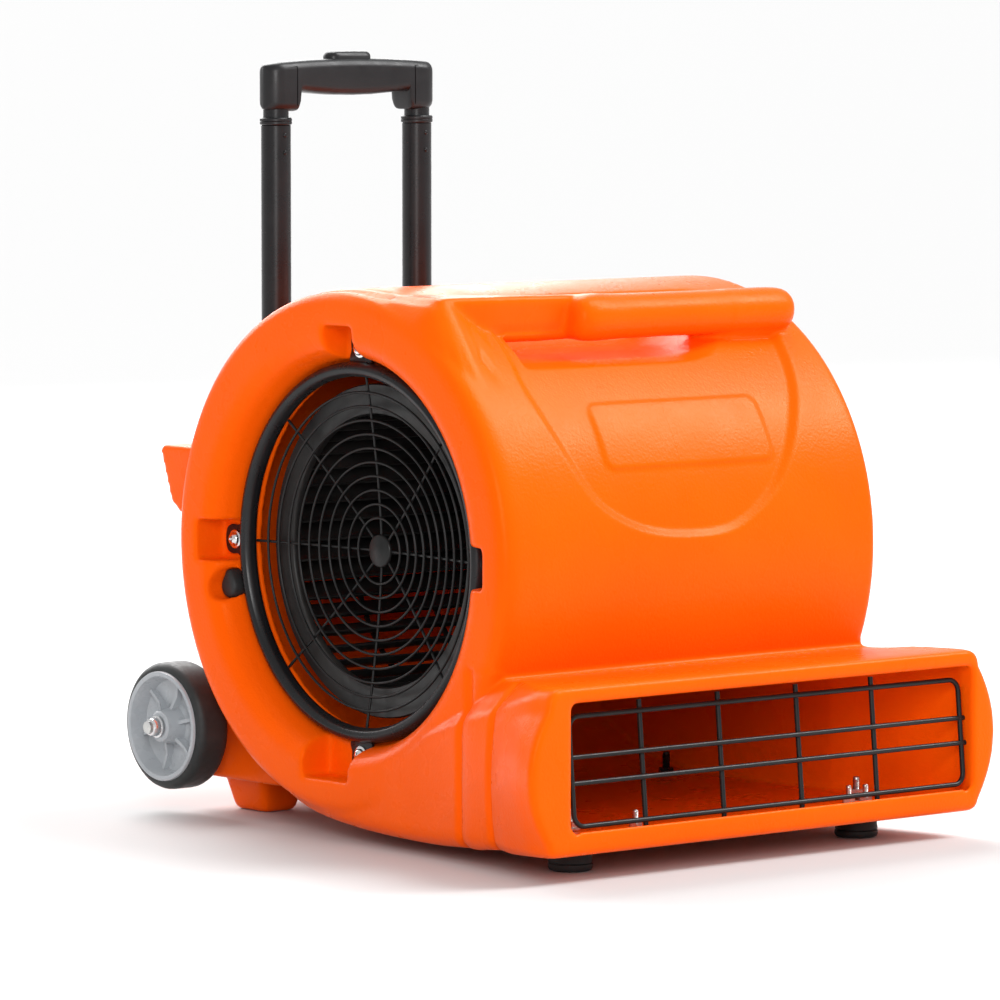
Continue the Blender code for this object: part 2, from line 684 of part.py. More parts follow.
def outlet_guard():
    """A rounded wire frame with two more wires across and four down, welded at the crossings."""
    low = OUT_ROWS[0]
    high = OUT_ROWS[-1]

    def lean(z):
        return OUT_GUARD_Y + OUT_GUARD_LEAN * (z - low) / (high - low)

    pieces = []
    for z in OUT_ROWS:
        start, end = (8.0, -8.0) if z in (low, high) else (-1.0, 4.0)
        pieces.append(rod("across", (0.0, lean(z), z), "X", OUT_LEFT + start, OUT_RIGHT + end, WIRE_R, 6))
    for x in OUT_COLUMNS:
        ends = [(x, lean(z) + 2.6, z) for z in (low - 7.0, high + 8.0)]
        pieces.append(bent_wire("down", ends, WIRE_R, 6))
    for side, x in ((-1, OUT_LEFT), (1, OUT_RIGHT)):
        path = [(x - side * 9.0, lean(low), low), (x - side * 2.0, lean(low + 3.0), low + 3.0), (x, lean(low + 10.0), low + 10.0)]
        path += [(x, lean(high - 10.0), high - 10.0), (x - side * 2.0, lean(high - 3.0), high - 3.0)]
        path += [(x - side * 9.0, lean(high), high)]
        pieces.append(bent_wire("side", path, WIRE_R, 6))
    return fused("outlet_guard", pieces, WIRE_COAT, 50.0)


def bent_wire(name, path, radius, steps):
    """A round wire along a path in the guard's plane."""
    points = []
    rows = []
    count = len(path)
    path = [Vector(p) for p in path]
    for index, point in enumerate(path):
        before = path[max(index - 1, 0)]
        after = path[min(index + 1, count - 1)]
        forward = (after - before).normalized()
        side = forward.cross(Vector((0.0, 1.0, 0.0))).normalized()
        up = side.cross(forward).normalized()
        row = []
        for k in range(steps):
            angle = TAU * (k + 0.5) / steps
            row.append(len(points))
            points.append(point + side * (radius * math.cos(angle)) + up * (radius * math.sin(angle)))
        rows.append(row)
    faces = [tuple(rows[0]), tuple(rows[-1])]
    for first, second in zip(rows, rows[1:]):
        faces += [(first[k], first[(k + 1) % steps], second[(k + 1) % steps], second[k]) for k in range(steps)]
    return mesh_from(name, points, faces)


def foot(name, x):
    profile = [(0.0, 5.0), (0.0, FOOT_R - 2.5), (2.5, FOOT_R), (FOOT_H, FOOT_R - 1.5), (FOOT_H, BOLT_R + 0.3), (7.5, BOLT_R + 0.3)]
    profile += [(7.5, 7.0), (1.5, 7.0), (0.0, 7.5)]
    return as_object(name, turned(name, profile[1:], (x, FOOT_Y, 0.0), "Z", 18, True), RUBBER)


def foot_bolt(name, x):
    profile = [(3.0, 0.0), (3.0, 6.0), (7.2, 6.0), (7.2, BOLT_R), (46.0, BOLT_R), (46.8, BOLT_R - 0.8), (46.8, 0.0)]
    return as_object(name, turned(name, profile, (x, FOOT_Y, 0.0), "Z", 12), ZINC)


def foot_nut(name, x):
    """A hexagon nut on its washer, inside the duct."""
    washer = turned("washer", [(30.4, 3.25), (32.0, 3.25), (32.0, 7.5), (30.4, 7.5)], (x, FOOT_Y, 0.0), "Z", 12, True)
    nut = turned("nut", [(31.5, 3.25), (37.0, 3.25), (37.0, 5.8), (31.5, 5.8)], (x, FOOT_Y, 0.0), "Z", 6, True)
    bore = rod("bore", (x, FOOT_Y, 0.0), "Z", 20.0, 40.0, 3.3, 12)
    whole = fused(name, [washer, nut], ZINC)
    return cut(whole, [bore], name + "_bore")


def clip_bolt(name, x):
    """The bolt and P-clip that hold the outlet guard down to the sill."""
    profile = [(25.0, 0.0), (25.0, 2.0), (31.6, 2.0), (31.6, 5.0), (33.0, 5.0), (33.0, 4.0), (38.0, 3.6), (39.0, 2.0), (39.0, 0.0)]
    return as_object(name, turned(name, profile, (x, -262.0, 0.0), "Z", 12), ZINC)


# ---------------------------------------------------------------- impeller and motor


def impeller():
    centre = (0.0, DRUM_Y, DRUM_Z)
    eye = [(WHEEL_LEFT, WHEEL_EYE_R - 1.0), (WHEEL_LEFT, WHEEL_R), (WHEEL_LEFT + 4.0, WHEEL_R), (WHEEL_LEFT + 4.0, WHEEL_EYE_R - 1.0)]
    back = [(WHEEL_RIGHT - 4.0, 12.0), (WHEEL_RIGHT - 4.0, WHEEL_R), (WHEEL_RIGHT, WHEEL_R), (WHEEL_RIGHT, 12.0)]
    hub = [(40.0, 0.0), (40.0, 16.0), (66.0, 18.0), (76.0, 20.0), (76.0, 0.0)]
    pieces = [turned("eye_ring", eye, centre, "X", 40, True), turned("back_plate", back, centre, "X", 40, True)]
    pieces.append(turned("hub", hub, centre, "X", 24))
    for blade in range(BLADES):
        turn = TAU * blade / BLADES
        section = []
        for offset in (-0.9, 0.9):
            row = []
            for step in range(3):
                share = step / 2.0
                radius = WHEEL_EYE_R + (WHEEL_R - 1.0 - WHEEL_EYE_R) * share
                swing = 0.10 * share * share + turn
                row.append((radius, swing + offset / radius))
            section.append(row)
        loop = section[0] + list(reversed(section[1]))
        outline = [(DRUM_Y + r * math.cos(t), DRUM_Z + r * math.sin(t)) for r, t in loop]
        pieces.append(prism("blade", outline, WHEEL_LEFT + 2.0, WHEEL_RIGHT - 2.0))
    wheel = fused("impeller", pieces, FAN_PLASTIC)
    return cut(wheel, [rod("bore", centre, "X", 30.0, 90.0, SHAFT_R + 0.1, 24)], "impeller_bore")


def motor():
    centre = (0.0, DRUM_Y, DRUM_Z)
    left = MOTOR_LEFT
    can = [(left + 8.0, MOTOR_R), (190.0, MOTOR_R), (191.8, MOTOR_R - 2.0), (191.8, 16.0), (187.0, 16.0)]
    can += [(187.0, MOTOR_R - 4.0), (left + 8.0, MOTOR_R - 4.0)]
    as_object("motor_housing", turned("motor_housing", can, centre, "X", 32, True), MOTOR_PAINT)
    bell = [(left, 16.2), (left, MOTOR_R - 6.0), (left + 3.0, MOTOR_R), (left + 7.8, MOTOR_R), (left + 7.8, MOTOR_R - 4.2)]
    bell += [(left + 12.0, MOTOR_R - 4.2), (left + 12.0, 24.0), (left + 8.0, 16.2)]
    as_object("motor_end_bell", turned("motor_end_bell", bell, centre, "X", 32, True), MOTOR_PAINT)
    stator = [(110.0, 40.0), (110.0, MOTOR_R - 4.3), (166.0, MOTOR_R - 4.3), (166.0, 40.0)]
    as_object("stator", turned("stator", stator, centre, "X", 32, True), COPPER)
    core = [(112.0, SHAFT_R + 0.1), (112.0, 39.0), (164.0, 39.0), (164.0, SHAFT_R + 0.1)]
    as_object("rotor_core", turned("rotor_core", core, centre, "X", 24, True), CORE)
    as_object("motor_shaft", rod("motor_shaft", centre, "X", 28.0, 189.0, SHAFT_R, 24), ZINC)
    for name, start in (("bearing_front", left + 0.3), ("bearing_rear", 180.0)):
        outer = 16.0 if name == "bearing_front" else 15.8
        race = [(start, SHAFT_R + 0.08), (start, outer), (start + 7.4, outer), (start + 7.4, SHAFT_R + 0.08)]
        as_object(name, turned(name, race, centre, "X", 24, True), CORE)
    carrier = [(174.0, 16.1), (174.0, 22.0), (186.8, 22.0), (186.8, 16.1)]
    as_object("bearing_carrier", turned("bearing_carrier", carrier, centre, "X", 24, True), MOTOR_PAINT)
    nut = [(28.8, SHAFT_R + 0.12), (28.8, 10.5), (39.6, 10.5), (39.6, SHAFT_R + 0.12)]
    as_object("impeller_nut", turned("impeller_nut", nut, centre, "X", 24, True), ZINC)


def motor_plate():
    centre = (0.0, DRUM_Y, DRUM_Z)
    profile = [(PLATE_X, 0.0), (PLATE_X, PLATE_R), (PLATE_X + PLATE_T - 1.0, PLATE_R), (PLATE_X + PLATE_T, PLATE_R - 1.5)]
    profile += [(PLATE_X + PLATE_T, 30.0), (PLATE_X + PLATE_T + 5.0, 24.0), (PLATE_X + PLATE_T + 5.0, 0.0)]
    plate = as_object("motor_plate", turned("motor_plate", profile, centre, "X", 36), BLACK_STEEL)
    holes = []
    for turn in range(4):
        angle = math.radians(45.0 + 90.0 * turn)
        y = DRUM_Y + 94.0 * math.cos(angle)
        z = DRUM_Z + 94.0 * math.sin(angle)
        holes.append(rod("plate_hole", (0.0, y, z), "X", 185.0, 205.0, 2.5, 12))
        pan_screw("plate_screw_%d" % (turn + 1), PLATE_X + PLATE_T + 0.1, 1.0, (0.0, y, z), 9.0)
    return cut(plate, holes, "plate_holes")


def controls():
    panel = as_object(
        "control_panel",
        block(
            "control_panel",
            (DRUM_RIGHT + 0.2, PANEL_Y - PANEL_HALF, PANEL_Z - PANEL_HALF),
            (DRUM_RIGHT + 3.2, PANEL_Y + PANEL_HALF, PANEL_Z + PANEL_HALF),
        ),
        BLACK_PLASTIC,
    )
    at = (0.0, PANEL_Y, PANEL_Z)
    cut(panel, [rod("knob_hole", at, "X", 185.0, 205.0, 3.6, 20)], "knob_hole")
    body = as_object(
        "speed_switch",
        block("speed_switch", (162.0, PANEL_Y - 16.0, PANEL_Z - 16.0), (DRUM_RIGHT - 0.2, PANEL_Y + 16.0, PANEL_Z + 16.0)),
        BLACK_PLASTIC,
    )
    cut(body, [rod("switch_bore", at, "X", 176.0, 205.0, 3.2, 20)], "switch_bore")
    dial = [(178.0, 0.0), (178.0, 3.0), (195.8, 3.0), (195.8, 17.0), (199.0, 17.0), (200.0, 14.0), (210.0, 13.0), (211.0, 11.0), (211.0, 0.0)]
    pointer = block("pointer", (199.0, PANEL_Y - 2.5, PANEL_Z - 1.0), (213.5, PANEL_Y + 2.5, PANEL_Z + 15.5))
    fused("speed_knob", [turned("dial", dial, at, "X", 18), pointer], BLACK_PLASTIC)
    gland = [(176.0, 4.5), (176.0, 11.0), (185.6, 11.0), (185.6, 8.0), (192.3, 8.0), (192.3, 11.5), (198.0, 11.5)]
    gland += [(204.0, 9.5), (214.0, 7.5), (214.0, 4.5)]
    as_object("cable_gland", turned("cable_gland", gland, (0.0, GLAND_Y, GLAND_Z), "X", 16, True), BLACK_PLASTIC)
    can = [(126.0, 0.0), (126.0, 16.0), (128.0, 18.0), (185.7, 18.0), (185.7, 0.0)]
    as_object("capacitor", turned("capacitor", can, (0.0, -62.0, 322.0), "X", 24), GREY_CAN)


# ---------------------------------------------------------------- trolley


def trolley():
    for side, label in ((-1, "left"), (1, "right")):
        at = (side * TUBE_X, TUBE_Y, 0.0)
        outer = [(OUTER_FOOT, OUTER_BORE), (OUTER_FOOT, OUTER_R), (OUTER_TOP, OUTER_R), (OUTER_TOP, OUTER_BORE)]
        as_object("outer_tube_" + label, turned("outer_tube", outer, at, "Z", 28, True), BLACK_STEEL)
        collar = [(OUTER_TOP + 0.2, 10.55), (OUTER_TOP + 0.2, 13.0), (OUTER_TOP + 5.0, 13.0), (OUTER_TOP + 6.0, 12.0)]
        collar += [(OUTER_TOP + 6.0, 10.55)]
        as_object("tube_collar_" + label, turned("tube_collar", collar, at, "Z", 28, True), BLACK_PLASTIC)
        inner = [(INNER_FOOT, INNER_BORE), (INNER_FOOT, INNER_R), (INNER_TOP, INNER_R), (INNER_TOP, INNER_BORE)]
        as_object("inner_tube_" + label, turned("inner_tube", inner, at, "Z", 28, True), BLACK_STEEL)
    grip()
    button = loft(
        "release_button",
        [
            [(a * s, TUBE_Y + b * t, z) for a, b in rounded(BUTTON_HALF, 8.5, 8.0, 4)]
            for z, s, t in ((588.0, 1.0, 1.0), (604.5, 1.0, 1.0), (607.0, 0.93, 0.82), (BUTTON_TOP, 0.8, 0.5))
        ],
    )
    as_object("release_button", button, BLACK_PLASTIC)
    coil("button_spring", (0.0, TUBE_Y), 580.0, 586.8, 4.5, 0.7, 3.5)
    clamp()


def grip():
    """The handle's cross grip, with a socket over each inner tube and ends rounded about the tubes."""
    stations = [(55.0, 573.5, 1.0), (60.0, 560.0, 1.0)]
    for turn in (0.0, 25.0, 45.0, 62.0, 76.0):
        angle = math.radians(turn)
        stations.append((TUBE_X + GRIP_DEEP * math.sin(angle), 560.0 + 2.0 * turn / 76.0, math.cos(angle)))
    left = [(-x, low, share) for x, low, share in reversed(stations)]
    half = stations[-1][0]
    sections = []
    for x, low, share in left + [(0.0, 574.0, 1.0)] + stations:
        middle = (GRIP_TOP - 3.5 * (x / half) ** 2 - 1.5 * (1.0 - share) + low) / 2.0
        deep = GRIP_DEEP * share
        outline = rounded(deep, middle - low, min(6.0, 0.95 * deep), 3)
        sections.append([(x, TUBE_Y + a, middle + b) for a, b in outline])
    whole = as_object("grip", loft("grip", sections), BLACK_PLASTIC)
    holes = [rod("socket", (side * TUBE_X, TUBE_Y, 0.0), "Z", 550.0, INNER_TOP + 0.3, INNER_R + 0.2, 28) for side in (-1, 1)]
    pocket = [
        [(a, TUBE_Y + b, z) for a, b in rounded(BUTTON_HALF + 0.4, 8.9, 8.2, 4)] for z in (579.0, 620.0)
    ]
    cut(whole, holes + [loft("pocket", pocket)], "grip_holes")
    return whole


def coil(name, middle, low, high, radius, wire, turns):
    """A helical spring standing on Z."""
    steps = 10
    ring = 5
    points = []
    total = int(turns * steps)
    for k in range(total + 1):
        angle = TAU * k / steps
        out = Vector((math.cos(angle), math.sin(angle), 0.0))
        at = Vector((middle[0], middle[1], low + (high - low) * k / total)) + out * radius
        for j in range(ring):
            turn = TAU * j / ring
            points.append(at + out * (wire * math.cos(turn)) + Vector((0.0, 0.0, wire * math.sin(turn))))
    faces = [tuple(range(ring)), tuple(range(total * ring, total * ring + ring))]
    for k in range(total):
        for j in range(ring):
            n = (j + 1) % ring
            a = k * ring
            faces.append((a + j, a + n, a + ring + n, a + ring + j))
    return as_object(name, mesh_from(name, points, faces), ZINC)


def clamp():
    """The plate that holds both tubes against the beam."""
    plate = as_object(
        "tube_clamp",
        block("tube_clamp", (-118.0, BEAM_BACK + 0.2, 258.0), (118.0, BEAM_BACK + 3.2, 278.0)),
        BLACK_STEEL,
    )
    holes = []
    for side, label in ((-1, "left"), (1, "right")):
        at = (side * (TUBE_X + 30.0), 0.0, 268.0)
        holes.append(rod("clamp_hole", at, "Y", 245.0, 260.0, 2.8, 16))
        seat = BEAM_BACK + 3.3
        profile = [(seat - 20.0, 0.0), (seat - 20.0, 2.5), (seat, 2.5), (seat, 6.0), (seat + 3.0, 5.5), (seat + 4.4, 3.0), (seat + 4.4, 0.0)]
        as_object("clamp_screw_" + label, turned("clamp_screw", profile, at, "Y", 12), CHROME)
    cut(plate, holes, "clamp_holes")


def wheel(label, side):
    at = (0.0, AXLE_Y, AXLE_Z)
    tread = [(WHEEL_IN, RIM_R + 0.2), (WHEEL_IN, TYRE_R - 5.0), (WHEEL_IN + 2.0, TYRE_R - 1.6), (WHEEL_IN + 6.0, TYRE_R)]
    tread += [(WHEEL_OUT - 8.0, TYRE_R), (WHEEL_OUT - 4.0, TYRE_R - 1.6), (WHEEL_OUT - 2.0, TYRE_R - 5.0), (WHEEL_OUT - 2.0, RIM_R + 0.2)]
    as_object("tyre_" + label, turned("tyre", [(side * x, r) for x, r in tread], at, "X", 32, True), TYRE)
    rim = [(WHEEL_IN - 5.0, AXLE_R + 0.07), (WHEEL_IN - 5.0, 12.0), (168.0, 13.0), (168.0, 38.0), (WHEEL_IN, 39.0), (WHEEL_IN, RIM_R)]
    rim += [(WHEEL_OUT, RIM_R), (WHEEL_OUT, 40.0), (174.0, 35.0), (174.0, 15.0), (WHEEL_OUT + 1.5, 11.5)]
    rim += [(WHEEL_OUT + 1.5, AXLE_R + 0.07)]
    pieces = [turned("rim", [(side * x, r) for x, r in rim], at, "X", 32, True)]
    for spoke in range(6):
        low = (min(side * 171.0, side * 181.0), 12.0, -1.4)
        high = (max(side * 171.0, side * 181.0), 38.5, 1.4)
        rib = block("rib", low, high)
        rib.transform(Matrix.Rotation(TAU * (spoke + 0.25) / 6.0, 4, "X"))
        rib.transform(Matrix.Translation((0.0, AXLE_Y * MM, AXLE_Z * MM)))
        pieces.append(rib)
    fused("wheel_rim_" + label, pieces, GREY)
    nut = [(side * 192.2, AXLE_R + 0.1), (side * 192.2, 8.5), (side * 199.0, 8.5), (side * 200.5, 7.0), (side * 200.5, AXLE_R + 0.1)]
    as_object("axle_nut_" + label, turned("axle_nut", nut, at, "X", 18, True), CHROME)


def joint_empty(name, at):
    empty = bpy.data.objects.new(name, None)
    empty.location = Vector(at) * MM
    empty.empty_display_size = 0.03
    PARTS.objects.link(empty)
    bpy.context.view_layer.update()
    return empty


def hang(empty, names):
    for name in names:
        child = bpy.data.objects[name]
        child.parent = empty
        child.matrix_parent_inverse = empty.matrix_world.inverted()


def build():
    shell()
    intake_ring()
    intake_guard()
    for turn, label in enumerate(("rear", "top", "front", "bottom")):
        y, z = ring_point(90.0 * turn)
        pan_screw("intake_screw_" + label, -163.8, -1.0, (0.0, y, z), 9.0)
    rubber_plug()
    outlet_guard()
    for side, label in ((-1, "left"), (1, "right")):
        foot("front_foot_" + label, side * FOOT_X)
        foot_bolt("foot_bolt_" + label, side * FOOT_X)
        foot_nut("foot_nut_" + label, side * FOOT_X)
        clip_bolt("guard_bolt_" + label, side * 118.0)
        wheel(label, side)
    impeller()
    motor()
    motor_plate()
    controls()
    trolley()
    as_object("axle", rod("axle", (0.0, AXLE_Y, AXLE_Z), "X", -AXLE_HALF, AXLE_HALF, AXLE_R, 32), ZINC)
    hang(joint_empty("impeller_axis", (0.0, DRUM_Y, DRUM_Z)), ["impeller", "rotor_core", "motor_shaft", "impeller_nut"])
    hang(joint_empty("speed_knob_axis", (DRUM_RIGHT, PANEL_Y, PANEL_Z)), ["speed_knob"])
    for side, label in ((-1, "left"), (1, "right")):
        hang(joint_empty("wheel_axis_" + label, (side * 174.0, AXLE_Y, AXLE_Z)), ["wheel_rim_" + label, "tyre_" + label])
    slide = joint_empty("handle_slide", (0.0, TUBE_Y, OUTER_TOP))
    hang(slide, ["grip", "inner_tube_left", "inner_tube_right", "release_button", "button_spring"])


build()
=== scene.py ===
import math

import bmesh
import bpy
import numpy as np
from mathutils import Matrix, Vector


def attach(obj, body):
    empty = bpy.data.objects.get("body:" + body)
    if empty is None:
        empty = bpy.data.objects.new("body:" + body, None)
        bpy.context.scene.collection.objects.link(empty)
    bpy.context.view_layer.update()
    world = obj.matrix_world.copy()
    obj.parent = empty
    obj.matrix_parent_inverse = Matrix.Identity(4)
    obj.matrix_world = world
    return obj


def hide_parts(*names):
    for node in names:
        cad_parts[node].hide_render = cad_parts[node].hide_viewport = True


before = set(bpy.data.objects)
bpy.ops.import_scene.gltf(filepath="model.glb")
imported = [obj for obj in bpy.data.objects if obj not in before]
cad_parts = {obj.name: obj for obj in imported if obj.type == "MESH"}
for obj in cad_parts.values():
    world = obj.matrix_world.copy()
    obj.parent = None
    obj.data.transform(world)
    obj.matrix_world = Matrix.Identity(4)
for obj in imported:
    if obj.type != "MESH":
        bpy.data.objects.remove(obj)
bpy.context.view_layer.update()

# Lengths are in millimetres, and MM turns them to metres. X runs along the drum, -Y is the outlet side.
MM = 0.001
TAU = 2 * math.pi

DRUM_Y, DRUM_Z, DRUM_R = 8, 224, 204
DRUM_LEFT, DRUM_RIGHT, CREST_R = -190, 192, 172
DRUM_STEPS = 176
WALL = 6
CENTRE = (0, DRUM_Y, DRUM_Z)
VOXEL = 2.1

MOUTH_LEFT, MOUTH_RIGHT, MOUTH_BOTTOM, MOUTH_TOP = -198, 213, 38, 133.5

BAR_Y, BAR_Z, BAR_RIGHT = -105, 406, 176
BAR_HEIGHT, BAR_DEPTH = 35, 38
WELL_LEFT, WELL_RIGHT = -112, 150
SLAB_FRONT = -101
KNUCKLE_X = -44
ROLL_TURN = 62

BASIN_DEPTH = 4.2
BASIN_WALL = 8
PLAQUE_PROUD = 1.5

BEAM_HALF, BEAM_TAPER, BEAM_BACK, BEAM_TOP, BEAM_BOTTOM = 176, 14, 250, 295, 240
BLOCK_HALF, BLOCK_BACK, BLOCK_TOP, BLOCK_BOTTOM = 146, 257, 112, 28
SKID_X = 104

RING_OUT_R, RING_IN_R, RING_FRONT, RING_SCREW_R = 148, 136, -171, 158
PLUG_R, PLUG_TURN, PLUG_FLOOR = 157.5, -13.5, -163
GUARD_RINGS, GUARD_FIRST_R, GUARD_PITCH = 10, 25.6, 10.9
GUARD_HUB_X, GUARD_RIM_X = -144.5, -160

WIRE_R = 2
OUT_GUARD_Y, OUT_GUARD_LEAN, OUT_LEFT, OUT_RIGHT = -277, 7.5, -191, 208.5
OUT_COLUMNS = (-118.7, -40, 40, 118.7)
OUT_ROWS = (41.4, 73.2, 92.5, 122.5)

WHEEL_R, WHEEL_EYE_R, WHEEL_LEFT, WHEEL_RIGHT = 130, 106, -146, 74
BLADES = 44
PLATE_R, PLATE_X, PLATE_T, PLATE_SCREW_R = 104, 192.2, 3, 94

TUBE_X, TUBE_Y = 73.2, 228.5
OUTER_R, OUTER_BORE, OUTER_FOOT, OUTER_TOP = 12, 10.5, 81, 549
INNER_R, INNER_BORE, INNER_FOOT, INNER_TOP = 10.3, 9, 130, 592
GRIP_DEEP, GRIP_TOP = 13, 602
BUTTON_HALF, BUTTON_TOP = 22, 608
RIVET_HEIGHTS = (527, 541)
LOCK_HEIGHTS = (190, 240, 290)
CLAMP_Z, CLAMP_SCREW_X = 268, 103.2

AXLE_Y, AXLE_Z, AXLE_R = 231.8, 70.7, 5
WHEEL_IN, WHEEL_OUT, RIM_R, TYRE_R = 158, 190, 44, 51
FOOT_X, FOOT_Y, FOOT_R, FOOT_H, BOLT_R = 147, -221, 17, 16.6, 3
PANEL_Y, PANEL_Z, PANEL_HALF = 106, 334, 26
GLAND_Y, GLAND_Z = 122, 112

CAMERA_AT = (-3217.6, -3788.3, 659.6)
CAMERA_AZIMUTH, CAMERA_TILT, CAMERA_LENS = 40.079, 4.635, 227.8
FLOOR_REACH, FLOOR_LEVEL = 700, -0.0004
SEAM_HALF, SEAM_RISE = 0.0009, 0.22


# ---------------------------------------------------------------- camera, light and floor


def camera():
    data = bpy.data.cameras.new("camera")
    data.lens = CAMERA_LENS
    data.sensor_width = 36
    data.clip_end = 2000
    obj = bpy.data.objects.new("camera", data)
    bpy.context.scene.collection.objects.link(obj)
    azimuth = math.radians(CAMERA_AZIMUTH)
    tilt = math.radians(CAMERA_TILT)
    view = Vector((math.sin(azimuth) * math.cos(tilt), math.cos(azimuth) * math.cos(tilt), -math.sin(tilt)))
    obj.location = Vector(CAMERA_AT) * MM
    obj.rotation_euler = view.to_track_quat("-Z", "Y").to_euler()
    bpy.context.scene.camera = obj


def softbox(name, at, aim, width, height, watts):
    data = bpy.data.lights.new(name, "AREA")
    data.shape = "RECTANGLE"
    data.size = width
    data.size_y = height
    data.energy = watts
    obj = bpy.data.objects.new(name, data)
    bpy.context.scene.collection.objects.link(obj)
    obj.location = at
    obj.rotation_euler = (Vector(aim) - Vector(at)).to_track_quat("-Z", "Y").to_euler()


def studio():
    world = bpy.data.worlds.new("studio")
    world.use_nodes = True
    world.node_tree.nodes["Background"].inputs["Color"].default_value = (1, 1, 1, 1)
    world.node_tree.nodes["Background"].inputs["Strength"].default_value = 0.62
    scene = bpy.context.scene
    scene.world = world
    scene.view_settings.view_transform = "Standard"
    scene.view_settings.look = "None"
    for name, energy, way in (("key", 2.3, (-0.62, 0.42, -1)), ("top", 2, (-0.3, -0.7, -1))):
        data = bpy.data.lights.new(name, "SUN")
        data.energy = energy
        data.angle = math.radians(30)
        sun = bpy.data.objects.new(name, data)
        scene.collection.objects.link(sun)
        sun.rotation_euler = Vector(way).to_track_quat("-Z", "Y").to_euler()
    softbox("front", (-2.2, -2.4, 1.2), (0, 0, 0.25), 0.9, 1.2, 44)
    softbox("right", (2.2, -1.5, 2.2), (0.1, -0.1, 0.3), 0.8, 0.8, 40)
    softbox("back", (0.9, 4, 2.3), (0, 0, 0.2), 5, 2.4, 190)
    corners = ((-1, -1), (1, -1), (1, 1), (-1, 1))
    points = [(a * FLOOR_REACH, b * FLOOR_REACH, FLOOR_LEVEL) for a, b in corners]
    mesh = bpy.data.meshes.new("floor")
    mesh.from_pydata(points, [], [(0, 1, 2, 3)])
    floor = bpy.data.objects.new("floor", mesh)
    bpy.context.scene.collection.objects.link(floor)
    made = bpy.data.materials.new("floor")
    made.use_nodes = True
    shader = made.node_tree.nodes["Principled BSDF"]
    shader.inputs["Base Color"].default_value = (0.54, 0.54, 0.54, 1)
    shader.inputs["Roughness"].default_value = 0.8
    mesh.materials.append(made)


# ---------------------------------------------------------------- materials


def node_of(tree, kind, **values):
    made = tree.nodes.new(kind)
    for key, value in values.items():
        if key in made.inputs:
            made.inputs[key].default_value = value
        else:
            setattr(made, key, value)
    return made


def spread(tree, source, before, after):
    """Maps the source's range before to the range after, clamped."""
    made = node_of(tree, "ShaderNodeMapRange")
    for key, value in zip(("From Min", "From Max", "To Min", "To Max"), (*before, *after)):
        made.inputs[key].default_value = value
    tree.links.new(source, made.inputs["Value"])
    return made.outputs["Result"]


def surface(
    name, colours, rough, grain, metal=0, bump=0.1, patch=14, coat=0, relief=0.0002, seam=False, spec=0.4,
    tint=(1, 1, 1),
):
    """A moulded, painted or metal surface: two near colours in soft patches, and a fine grain."""
    made = bpy.data.materials.new(name)
    made.use_nodes = True
    tree = made.node_tree
    shader = tree.nodes["Principled BSDF"]
    link = tree.links.new
    place = node_of(tree, "ShaderNodeTexCoord")
    patches = node_of(tree, "ShaderNodeTexNoise", Scale=patch, Detail=4, Roughness=0.6)
    link(place.outputs["Object"], patches.inputs["Vector"])
    ramp = node_of(tree, "ShaderNodeValToRGB")
    ramp.color_ramp.elements[0].position = 0.35
    ramp.color_ramp.elements[1].position = 0.65
    ramp.color_ramp.elements[0].color = (*colours[0], 1)
    ramp.color_ramp.elements[1].color = (*colours[1], 1)
    link(patches.outputs["Fac"], ramp.inputs["Fac"])
    link(ramp.outputs["Color"], shader.inputs["Base Color"])
    wander = node_of(tree, "ShaderNodeTexNoise", Scale=patch * 6, Detail=3)
    link(place.outputs["Object"], wander.inputs["Vector"])
    link(spread(tree, wander.outputs["Fac"], (0.3, 0.7), rough), shader.inputs["Roughness"])
    shader.inputs["Metallic"].default_value = metal
    shader.inputs["Coat Weight"].default_value = coat
    shader.inputs["Coat Roughness"].default_value = 0.12
    shader.inputs["Specular IOR Level"].default_value = spec
    shader.inputs["Specular Tint"].default_value = (*tint, 1)
    pebble = node_of(tree, "ShaderNodeTexNoise", Scale=grain, Detail=2, Roughness=0.55)
    link(place.outputs["Object"], pebble.inputs["Vector"])
    height = pebble.outputs["Fac"]
    if seam:
        split = node_of(tree, "ShaderNodeSeparateXYZ")
        link(place.outputs["Object"], split.inputs["Vector"])
        away = node_of(tree, "ShaderNodeMath", operation="ABSOLUTE")
        link(split.outputs["X"], away.inputs[0])
        both = node_of(tree, "ShaderNodeMath", operation="ADD")
        link(height, both.inputs[0])
        link(spread(tree, away.outputs["Value"], (0, SEAM_HALF), (SEAM_RISE, 0)), both.inputs[1])
        height = both.outputs["Value"]
    relief_node = node_of(tree, "ShaderNodeBump", Strength=bump, Distance=relief)
    link(height, relief_node.inputs["Height"])
    link(relief_node.outputs["Normal"], shader.inputs["Normal"])
    return made


ORANGE = surface(
    "orange_shell",
    ((0.91, 0.096, 0.001), (0.96, 0.108, 0.0015)),
    (0.25, 0.33),
    420,
    bump=0.5,
    patch=5,
    relief=0.0005,
    seam=True,
    spec=0.12,
    tint=(1, 0.55, 0.15),
)
BLACK_STEEL = surface(
    "black_painted_steel", ((0.006, 0.006, 0.007), (0.011, 0.011, 0.012)), (0.24, 0.36), 700, bump=0.12,
    spec=0.3,
)
WIRE_COAT = surface(
    "black_coated_wire", ((0.006, 0.006, 0.006), (0.012, 0.012, 0.012)), (0.3, 0.44), 900, bump=0.2,
    spec=0.25,
)
CHROME = surface(
    "plated_screws", ((0.72, 0.72, 0.73), (0.86, 0.86, 0.86)), (0.12, 0.26), 900, metal=1, bump=0.1,
    patch=90,
)
ZINC = surface(
    "zinc_steel", ((0.5, 0.5, 0.5), (0.68, 0.67, 0.63)), (0.25, 0.42), 500, metal=1, bump=0.15, patch=70
)
